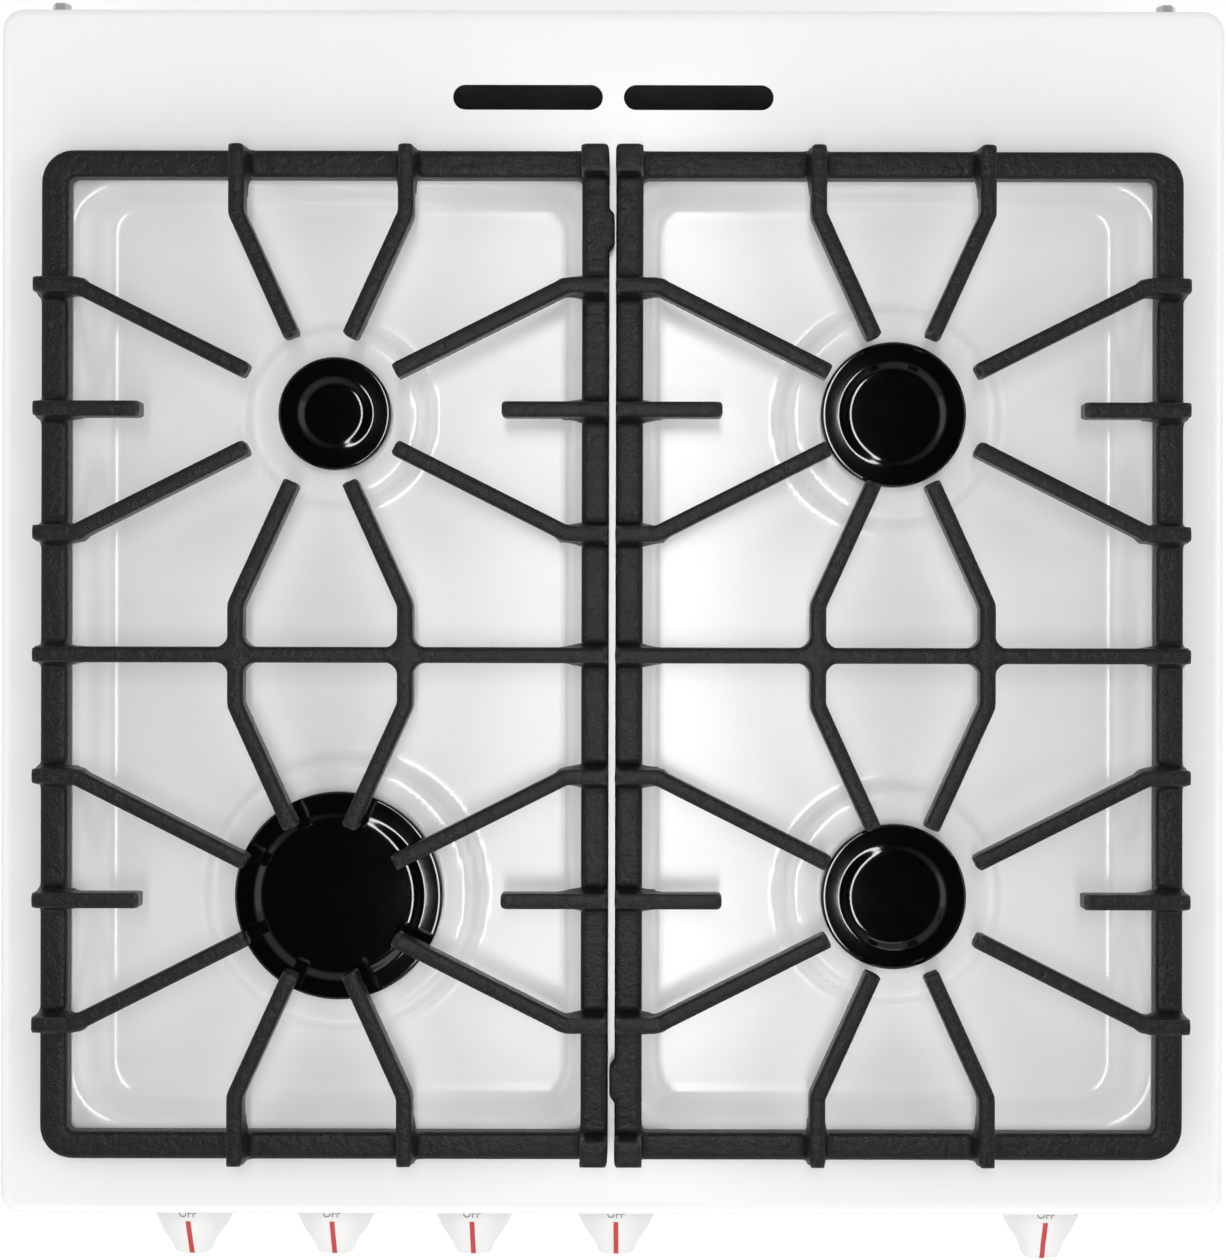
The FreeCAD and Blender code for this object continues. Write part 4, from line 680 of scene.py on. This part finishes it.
def cooktop_form():
    half_x = (cooktop_high.x - cooktop_low.x) / 2
    half_y = (cooktop_high.y - cooktop_low.y) / 2
    columns, rows = grid_lines(half_x), grid_lines(half_y)
    x, y = np.meshgrid(columns, rows, indexing="ij")
    u = np.clip((abs(x) - half_x + plan_corner) / plan_corner, 0, 1)
    v = np.clip((abs(y) - half_y + plan_corner) / plan_corner, 0, 1)
    reach = np.maximum(u, v)
    length = np.where((u > 0) & (v > 0), np.hypot(u, v), 1)
    share = np.where((u > 0) & (v > 0), reach / length, 1)
    x = np.sign(x) * (np.minimum(abs(x), half_x - plan_corner) + plan_corner * u * share)
    y = np.sign(y) * (np.minimum(abs(y), half_y - plan_corner) + plan_corner * v * share)
    inward = np.clip(plan_corner * (1 - reach), 0, skirt_round)
    drop = skirt_round - np.sqrt(np.maximum(skirt_round ** 2 - (skirt_round - inward) ** 2, 0))
    z = cooktop_height(x, y) - drop
    across, along = x.shape
    number = np.arange(across * along).reshape(across, along)
    quads = np.stack([number[:-1, :-1], number[1:, :-1], number[1:, 1:], number[:-1, 1:]], -1)
    verts = np.stack([x, y + middle_y, z], -1).reshape(-1, 3)
    border = np.concatenate([number[:-1, 0], number[-1, :-1], number[:0:-1, -1], number[0, :0:-1]])
    hem = verts[border].copy()
    hem[:, 2] = cooktop_low.z
    below = len(verts) + np.arange(len(border))
    skirt = np.stack([border, below, np.roll(below, -1), np.roll(border, -1)], -1)
    mesh = bpy.data.meshes.new("cooktop_pressing")
    mesh.from_pydata(np.concatenate([verts, hem]).tolist(), [],
                     quads.reshape(-1, 4).tolist() + skirt.tolist())
    return mesh


pressing = bench("cooktop_pressing", cooktop_form())
thick = pressing.modifiers.new("sheet", "SOLIDIFY")
thick.thickness = wall
thick.offset = -1
holes = bmesh.new()
slot_x, slot_y = 0.0425, middle_y + 0.2562
slot_length, slot_width, slot_corner = 0.0745, 0.0125, 0.00615
for sign in (-1, 1):
    outline = rounded_outline(slot_length / 2, slot_width / 2, slot_corner, 10)
    add_prism(holes, [(sign * slot_x + x, slot_y + y, rim - past) for x, y in outline], (0, 0, 2 * past))
for burner_x, burner_y, *_ in burner_places.values():
    circle = rounded_outline(hole_radius, hole_radius, hole_radius - almost, 10)
    add_prism(holes, [(burner_x + x, burner_y + y, rim - 2 * past) for x, y in circle], (0, 0, 3 * past))
cooktop_mesh = smooth(cut_away(pressing, "cooktop", holes), 50)
piece_from("cooktop", cooktop_mesh, porcelain("cooktop_porcelain", 0.9), "porcelain_white", "body",
           "maintop")
rear_low, rear_high = box_of("rear_screws")
rear_screws = bmesh.new()
washer = 0.0067
screw_shapes = (([(0, 0), (washer, 0), (washer, 0.0008), (0.0058, 0.0013), (0, 0.0013)], 32),
                ([(0, 0.001), (0.0048, 0.001), (0.0048, 0.0042), (0.0042, 0.005), (0.003, 0.0047),
                  (0, 0.0047)], 6),
                ([(0, -0.009), (0.0025, -0.009), (0.0025, 0.0002), (0, 0.0002)], 20))
for sign in (-1, 1):
    place = (sign * (rear_high.x - washer), cooktop_high.y, (rear_low.z + rear_high.z) / 2)
    for profile, steps in screw_shapes:
        join(rear_screws, moved(turned_profile(profile, steps), place, -math.pi / 2, "X"))
piece_from("rear_screw_heads", smooth(mesh_of("rear_screw_heads", rear_screws), 30), plated, "screw_steel",
           "body", "rear_screws")

# ------------------------------------------------------------------ burners
# Cast aluminium heads with flame ports round their rims stand in the cooktop, and carry loose
# steel caps with glossy black enamel. A white ceramic spark pin stands beside each head.

head_foot, under_cap = 0.008, 0.007
port_pitch, port_share, port_deep, port_lap = 0.0052, 0.58, 0.0034, 0.0002
port_floor, port_roof = 0.0022, 0.0049
cap_inset, cap_foot, cap_drop, cap_round = 0.0095, 0.0006, 0.0022, 0.001
cap_rise = ((-0.001, 0.0011), (0, 0.00101), (0.001, 0.00082), (0.0022, 0.00053), (0.0034, 0.00024),
            (0.0044, 0.00007), (0.006, 0))

def turned_at(name, profile, place, steps, angle=35):
    """A turned mesh moved to a place."""
    return smooth(mesh_of(name, moved(turned_profile(profile, steps), place)), angle)


def cap_finish():
    finish = Finish("cap_enamel", Specular_IOR_Level=0.4)
    finish.colour(finish.blend(finish.noise(120, 4), (0.001, 0.001, 0.001), (0.003, 0.003, 0.003)))
    finish.rough(0.05 + 0.05 * finish.noise(80))
    finish.bump(finish.noise(420, 2), 0.0001, 0.05)
    return finish.material


def port_tooth(deep, wide, tall):
    """The metal between two flame ports: a small block with a rounded outer face, at X = 0."""
    form = bmesh.new()
    bevel = 0.0006
    outline = [(-deep, -wide / 2), (-bevel, -wide / 2), (0, -wide / 4), (0, wide / 4), (-bevel, wide / 2),
               (-deep, wide / 2)]
    add_prism(form, [(x, y, 0) for x, y in outline], (0, 0, tall))
    return mesh_of("port_tooth", form)


def head_profile(wide, rise, drop):
    """Half the section of a burner head: its spigot, foot, groove for the ports, and top."""
    bore, spigot, foot_bevel, top_bevel, groove = 0.008, 0.016, 0.0008, 0.0006, 0.003
    return [(bore, drop), (spigot, drop), (spigot, 0.0), (wide - foot_bevel, 0.0), (wide, foot_bevel),
            (wide, port_floor), (wide - groove, port_floor), (wide - groove, port_roof), (wide, port_roof),
            (wide, rise - top_bevel), (wide - top_bevel, rise), (bore, rise), (bore, drop)]


def cap_profile(cap, tall):
    """Half the section of a cap: a rounded rim, a level shoulder, and a slightly raised middle."""
    edge = cap - cap_inset
    profile = [(0, 0), (cap - cap_foot, 0), (cap, cap_foot)]
    for angle in (0, 22, 45, 68):
        inward = cap_round * (1 - math.cos(math.radians(angle)))
        upward = cap_round * math.sin(math.radians(angle))
        profile.append((cap - inward, tall - cap_drop + upward))
    profile += [(cap - inset, tall - drop) for inset, drop in ((0.0013, 0.00118), (0.0025, 0.00115))]
    profile += [(edge - inset, tall - drop) for inset, drop in cap_rise]
    return profile + [(0, tall)]


cast_aluminium = bare_metal("burner_aluminium", (0.32, 0.32, 0.32), (0.46, 0.46, 0.45), 0.42, 500)
black_enamel = cap_finish()
for burner, (x, y, cap, _) in burner_places.items():
    low, high = box_of(f"burner_head_{burner}")
    foot = low.z + head_foot
    wide = cap - under_cap
    profile = head_profile(wide, high.z - foot, low.z - foot)
    piece_from(f"burner_{burner}", turned_at(f"head_{burner}", profile, (x, y, foot), 72), cast_aluminium,
               "burner_aluminium", "body", f"burner_head_{burner}")
    count = round(math.tau * wide / port_pitch)
    angles = [math.tau * k / count for k in range(count)]
    places = [(x + wide * math.cos(angle), y + wide * math.sin(angle), foot + port_floor - port_lap)
              for angle in angles]
    tooth = port_tooth(port_deep, port_pitch * port_share, port_roof - port_floor + 2 * port_lap)
    teeth = scatter(f"ports_{burner}", tooth, places, [(0, 0, angle) for angle in angles], cast_aluminium)
    piece_from(f"burner_ports_{burner}", teeth, cast_aluminium, "burner_aluminium", "body")
    low, high = box_of(f"burner_cap_{burner}")
    profile = cap_profile(cap, high.z - low.z)
    piece_from(f"cap_{burner}", turned_at(f"cap_{burner}", profile, (x, y, low.z), 96), black_enamel,
               "cap_enamel", f"cap_{burner}", f"burner_cap_{burner}")

dress(cast_aluminium, "burner_bases")
dress(moulded("spark_ceramic", (0.8, 0.79, 0.75), (0.72, 0.7, 0.66), 0.25, 700), "igniters")
dress(moulded("spark_plastic", (0.015, 0.015, 0.017), (0.03, 0.03, 0.03)), "spark_module")

# ------------------------------------------------------------------ gas train
# A bent steel pipe feeds brass valves behind the control panel, and aluminium tubes run from
# them to the burners. The regulator and the oven thermostat are die castings.

pipe_steel = bare_metal("gas_pipe", (0.34, 0.34, 0.35), (0.45, 0.45, 0.45), 0.4, 250)
valve_brass = bare_metal("valve_brass", (0.62, 0.44, 0.16), (0.75, 0.56, 0.24), 0.25, 300)
dress(pipe_steel, "manifold_pipe", "supply_tubes")
dress(cast_aluminium, "pressure_regulator", "oven_thermostat")
dress(valve_brass, "burner_valves")
knob_names = ("left_front", "left_rear", "right_rear", "right_front", "oven")
dress(valve_brass, *(f"valve_stem_{name}" for name in knob_names))

# ------------------------------------------------------------------ control panel and knobs
# A folded porcelain panel with a hole for each valve stem, and white moulded knobs pushed on
# the stems: a round skirt with a printed dial, a flare, and an upright grip with a red line
# along its top.

panel_low, panel_high = box_of("control_panel")
panel_corner, panel_roll, top_lip = 0.004, 0.0035, 0.01
control_pan = pan("control_pan", panel_low, panel_high, panel_corner, panel_roll, wall)
stem_hole = 0.006
openings = bmesh.new()
add_block(openings, (panel_low.x + wall, panel_low.y + top_lip, panel_high.z - 2 * wall),
          (panel_high.x - wall, panel_high.y + past, panel_high.z + past))
for name in knob_names:
    low, high = box_of(f"valve_stem_{name}")
    circle = rounded_outline(stem_hole, stem_hole, stem_hole - almost, 6)
    add_prism(openings, [((low.x + high.x) / 2 + x, panel_low.y - past, (low.z + high.z) / 2 + z)
                         for x, z in circle], (0, 1.5 * past, 0))
piece_from("control_fascia", smooth(cut_away(control_pan, "control", openings), 30), side_porcelain,
           "porcelain_panel", "body", "control_panel")


knob_skirt = ((0, 0.0008, 0.0008, 2), (0.0004, 0, 0, 2), (0.0046, 0, 0, 2), (0.0058, 0.0005, 0.0005, 2),
              (0.009, 0.0012, 0.0012, 2), (0.0122, 0.0024, 0.0024, 2), (0.0145, 0.0038, 0.0037, 2.1),
              (0.0165, 0.0048, 0.0049, 2.2), (0.0187, 0.006, 0.0062, 2.4), (0.021, 0.0076, 0.0077, 2.7),
              (0.0232, 0.0094, 0.0092, 3.1), (0.0255, 0.0109, 0.0107, 3.5))
knob_grip = ((0.0045, 0.0122, 0.0121, 3.8), (0.0022, 0.0129, 0.0135, 4), (0.001, 0.0135, 0.0144, 4),
             (0.0002, 0.015, 0.0158, 3.8), (0, 0.018, 0.0185, 3.4))


def knob_sections(length, radius):
    """Sections of a knob from its back: depth, half width, half height and squareness."""
    places = list(knob_skirt) + [(length - short, *rest) for short, *rest in knob_grip]
    return [(depth, radius - less_x, radius - less_z, square) for depth, less_x, less_z, square in places]


def knob_form(sections, middle, back):
    form = bmesh.new()
    steps = 96
    rings = []
    for depth, half_x, half_z, square in sections:
        ring = []
        for k in range(steps):
            angle = math.tau * k / steps
            along_x, along_z = math.cos(angle), math.sin(angle)
            reach = (abs(along_x) ** square + abs(along_z) ** square) ** (-1 / square)
            ring.append(form.verts.new((middle[0] + half_x * along_x * reach, back - depth,
                                        middle[1] + half_z * along_z * reach)))
        rings.append(ring)
    loft(form, rings)
    return form


def pointer_form(sections, middle, back):
    """The inlaid line along the top of the grip, from the flare to the front."""
    line_half, proud, sunk, lean, line_start = 0.00125, 0.00012, 0.0012, 0.3, 0.012
    form = bmesh.new()
    rings = []
    for depth, _, half_z, _ in sections:
        if depth > line_start:
            y, z = back - depth, middle[1] + half_z
            rings.append([form.verts.new((middle[0] + side * line_half, y - lift * lean, z + lift))
                          for side, lift in ((-1, proud), (1, proud), (1, -sunk), (-1, -sunk))])
    loft(form, rings)
    return form


def dial_word(word, turn, middle, back, radius):
    """A word printed round a knob's skirt, turned from the top of the knob."""
    letter, print_foot, print_thick = 0.0056, 0.0098, 0.0001
    skirt_depth, skirt_inset, skirt_slope = 0.0058, 0.0005, 0.19
    curve = bpy.data.curves.new(word, "FONT")
    curve.body = word
    curve.size = letter
    curve.align_x = "CENTER"
    curve.resolution_u = 3
    curve.extrude = print_thick
    mesh = settled(bench(word, curve))
    form = bmesh.new()
    form.from_mesh(mesh)
    bpy.data.meshes.remove(mesh)
    for vert in form.verts:
        angle = vert.co.x / radius + turn
        depth = print_foot - vert.co.y
        reach = radius - skirt_inset - skirt_slope * (depth - skirt_depth) + vert.co.z
        vert.co = Vector((middle[0] + reach * math.sin(angle), back - depth,
                          middle[1] + reach * math.cos(angle)))
    return form


knob_white = moulded("knob_plastic", (0.83, 0.83, 0.82), (0.79, 0.79, 0.78), 0.28, 500)
line_red = moulded("pointer_paint", (0.55, 0.03, 0.03), (0.48, 0.025, 0.025), 0.35, 500)
print_grey = moulded("dial_print", (0.2, 0.2, 0.2), (0.26, 0.26, 0.26), 0.4, 500)
burner_words = (("OFF", 0), ("HI", 100), ("MED", 160), ("LO", 215))
oven_words = (("OFF", 0), ("200", 60), ("300", 110), ("400", 160), ("500", 210), ("BROIL", 270))
for name in knob_names:
    low, high = box_of(f"knob_{name}")
    middle = ((low.x + high.x) / 2, (low.z + high.z) / 2)
    radius = (high.x - low.x) / 2
    sections = knob_sections(high.y - low.y, radius)
    body = f"knob_{name}"
    form = knob_form(sections, middle, high.y)
    piece_from(f"dial_{name}", smooth(mesh_of(f"dial_{name}", form), 50), knob_white, "knob_plastic",
               body, body)
    form = pointer_form(sections, middle, high.y)
    piece_from(f"dial_line_{name}", smooth(mesh_of(f"dial_line_{name}", form), 50), line_red,
               "knob_plastic", body)
    words = bmesh.new()
    for word, turn in oven_words if name == "oven" else burner_words:
        join(words, dial_word(word, math.radians(turn), middle, high.y, radius))
    piece_from(f"dial_words_{name}", mesh_from(f"dial_words_{name}", words), print_grey, "knob_plastic",
               body)

# ------------------------------------------------------------------ grates
# Two iron castings with matt black enamel, one turned half round. Low rails and a cross bar
# carry raised fingers that bend in towards each burner, and four rubber feet lie under each.

finger_half, finger_deep = 0.0039, 0.014
rail_wide, rail_tall, rail_bevel = 0.0134, 0.012, 0.0012
corner_round, corner_steps = 0.016, 9
pitch = 0.11935
fork_x, fork_knee, fork_tip = 0.0411, 0.095, (0.0139, 0.0351)
fork_web, web_drop = 0.0035, 0.0006
arm_y, arm_knee, arm_tip = 0.0603, 0.1194, (0.0358, 0.0183)
spur_tip, bar_lap = 0.0877, 0.05


def strip(start, end, near, far):
    """The plan of a straight bar between two points, with half widths at its ends."""
    start, end = Vector(start), Vector(end)
    run = end - start
    side = Vector((-run.y, run.x)).normalized()
    corners = (start - side * near, end - side * far, end + side * far, start + side * near)
    return [tuple(corner) for corner in corners]


def disc(place, radius, steps=12):
    angles = [math.tau * k / steps for k in range(steps)]
    return [(place[0] + radius * math.cos(angle), place[1] + radius * math.sin(angle)) for angle in angles]


def crowned(form, plan, inner, low, high, shoulder):
    """A bar with chamfered top edges: a prism with a narrower one on it."""
    wedge(form, plan, plan, low, high - shoulder)
    wedge(form, plan, inner, high - shoulder, high)


def finger(form, high, *points):
    """A finger along its plan points, with rounded bends."""
    chamfer = 0.0007
    half, narrow = finger_half, finger_half - chamfer
    for start, end in zip(points, points[1:]):
        crowned(form, strip(start, end, half, half), strip(start, end, narrow, narrow),
                high - finger_deep, high, chamfer)
    for knee in points[1:-1]:
        crowned(form, disc(knee, half), disc(knee, narrow), high - finger_deep, high, chamfer)


def root(form, place, toward, low, high):
    """The foot of a finger: a post on the rail that widens downwards and flares into the finger."""
    flare, run, lap, neck, crown, bevel, web_bevel = 0.0068, 0.011, 0.002, 0.004, 0.003, 0.0006, 0.0005
    along = Vector(toward)
    outer = Vector(place)
    inner = outer + along * rail_wide
    wedge(form, strip(outer, inner, flare, flare), strip(outer, inner, finger_half, finger_half),
          low, high - neck)
    wedge(form, strip(outer, inner, finger_half, finger_half),
          strip(outer, inner, finger_half - bevel, finger_half - bevel), high - neck, high)
    start, end = inner - along * lap, inner + along * run
    wedge(form, strip(start, end, flare * 0.95, finger_half),
          strip(start, end, finger_half, finger_half - web_bevel), high - finger_deep, high - crown)


def rail(form, start, end, low, high):
    """A straight rail between two plan points."""
    half = rail_wide / 2
    crowned(form, strip(start, end, half, half), strip(start, end, half - rail_bevel, half - rail_bevel),
            low, high, rail_bevel)


def rail_corner(form, centre, sign, low, high):
    """The round outer corner of a grate's rails, in short steps."""
    for step in range(corner_steps):
        angles = [math.pi - sign * math.radians(90 * k / corner_steps) for k in (step, step + 1)]
        rays = [Vector((math.cos(angle), math.sin(angle))) for angle in angles]
        plans = []
        for inset in (0, rail_bevel):
            outer = [centre + ray * (corner_round - inset) for ray in rays]
            inner = [centre + ray * (corner_round - rail_wide + inset) for ray in rays]
            plans.append([tuple(point) for point in (*outer, *inner[::-1])])
        crowned(form, *plans, low, high, rail_bevel)


def grate_form(half_x, half_y, low, rail_top, high):
    """One grate about its own centre: its outer side is at -X."""
    form = bmesh.new()
    for sign in (-1, 1):
        x = sign * (half_x - rail_wide / 2)
        y = sign * (half_y - rail_wide / 2)
        end = half_y - (corner_round if sign < 0 else 0)
        rail(form, (x, -end), (x, end), low, rail_top)
        rail(form, (-half_x + corner_round, y), (half_x, y), low, rail_top)
        add_block(form, (half_x - rail_wide, y - rail_wide / 2, low), (half_x, y + rail_wide / 2, high))
        centre = Vector((-half_x + corner_round, sign * (half_y - corner_round)))
        rail_corner(form, centre, sign, low, rail_top)
        for side in (-1, 1):
            side_x, side_fork = side * half_x, side * fork_x
            finger(form, high, (side_x, 0), (side * (half_x - bar_lap), 0))
            root(form, (side_x, 0), (-side, 0), low, high)
            centre_y = sign * pitch
            for way in (-1, 1):
                outward = way * sign > 0
                root_y = sign * half_y if outward else 0
                knee = (side_fork, centre_y + way * fork_knee)
                tip = (side * fork_tip[0], centre_y + way * fork_tip[1])
                finger(form, high, (side_fork, root_y), knee, tip)
                if outward:
                    root(form, (side_fork, root_y), (0, -sign), low, high)
                else:
                    start, end = (side_fork, sign * finger_half), (side_fork, sign * (finger_half + fork_web))
                    plan = strip(start, end, finger_half + fork_web, finger_half)
                    wedge(form, plan, plan, high - finger_deep, high - web_drop)
                height = centre_y + way * arm_y
                knee = (side * arm_knee, height)
                tip = (side * arm_tip[0], centre_y + way * arm_tip[1])
                finger(form, high, (side_x, height), knee, tip)
                root(form, (side_x, height), (-side, 0), low, high)
            finger(form, high, (side_x, centre_y), (side * spur_tip, centre_y))
            root(form, (side_x, centre_y), (-side, 0), low, high)
    finger(form, high, (-half_x, 0), (half_x, 0))
    nub, reach, half, slope, lap = 0.2099, 0.0026, 0.0105, 0.003, 0.001
    plan = [(half_x - lap, nub - half), (half_x + reach, nub - half + slope),
            (half_x + reach, nub + half - slope), (half_x - lap, nub + half)]
    wedge(form, plan, plan, low, rail_top)
    return form


def cast_enamel():
    """Matt black enamel on cast iron: fine pale flecks over a lumpy, slightly glossy skin, with painted
    highlights along its sharp edges.
    """
    finish = Finish("grate_enamel", Specular_IOR_Level=0.22)
    fleck = finish.noise(1300, 2, 0.6)
    shade = finish.node("MapRange", {}, {"Value": fleck, "From Min": 0.4, "From Max": 0.66})
    skin = finish.blend(shade, (0.0015, 0.0015, 0.0015), (0.016, 0.016, 0.0165))
    # Painted highlight: where the edge attribute is high, the base colour turns pale grey along the sharp
    # outward edges.
    edge = finish.node("Attribute", {"attribute_name": "edge"}, {}, out="Fac")
    finish.colour(finish.blend(edge, skin, (0.05, 0.05, 0.051)))
    lumps = finish.noise(260, 3)
    finish.rough(0.24 + 0.16 * lumps + 0.1 * fleck)
    finish.bump(lumps + 0.2 * fleck, 0.001, 0.7)
    return finish.material


def mark_painted_edge_highlights(mesh):
    """Store how sharply the casting turns outwards at each vertex, for the painted highlights along its
    edges.
    """
    count = len(mesh.vertices)
    place, facing = np.empty(3 * count), np.empty(3 * count)
    mesh.vertices.foreach_get("co", place)
    mesh.vertices.foreach_get("normal", facing)
    place, facing = place.reshape(-1, 3), facing.reshape(-1, 3)
    ends = np.empty(2 * len(mesh.edges), dtype=np.int32)
    mesh.edges.foreach_get("vertices", ends)
    one, other = ends.reshape(-1, 2).T
    run = place[other] - place[one]
    bend = ((facing[other] - facing[one]) * run).sum(1) / np.maximum((run ** 2).sum(1), 1e-12)
    total = np.bincount(one, bend, count) + np.bincount(other, bend, count)
    sharp = total / np.maximum(np.bincount(ends, minlength=count), 1)
    least = 250
    # The edge attribute marks where the painted edge highlight goes.
    mark = mesh.attributes.new("edge", "FLOAT", "POINT")
    mark.data.foreach_set("value", np.clip((sharp - least) / least, 0, 1).astype(np.float32))


iron_enamel = cast_enamel()
rubber = moulded("grate_rubber", (0.012, 0.012, 0.012), (0.02, 0.02, 0.02), 0.6)
dress(rubber, "grate_feet_left", "grate_feet_right")
grate_width, grate_voxel = 0.2794, 0.0015
for name, sign in (("left", -1), ("right", 1)):
    low, high = box_of(f"grate_{name}")
    outer_x = low.x if sign < 0 else high.x
    middle = Vector((outer_x - sign * grate_width / 2, (low.y + high.y) / 2, 0))
    form = grate_form(grate_width / 2, (high.y - low.y) / 2, low.z, low.z + rail_tall, high.z)
    moved(form, middle, 0 if sign < 0 else math.pi)
    work = bench(f"grate_{name}_work", mesh_of(f"grate_{name}_work", form))
    fine = work.modifiers.new("casting", "REMESH")
    fine.mode = "VOXEL"
    fine.voxel_size = grate_voxel
    soft = work.modifiers.new("soft", "SMOOTH")
    soft.factor = 0.5
    soft.iterations = 1
    mesh = settled(work)
    mesh.shade_smooth()
    mark_painted_edge_highlights(mesh)
    piece_from(f"cast_grate_{name}", mesh, iron_enamel, "cast_iron", f"{name}_grate", f"grate_{name}")
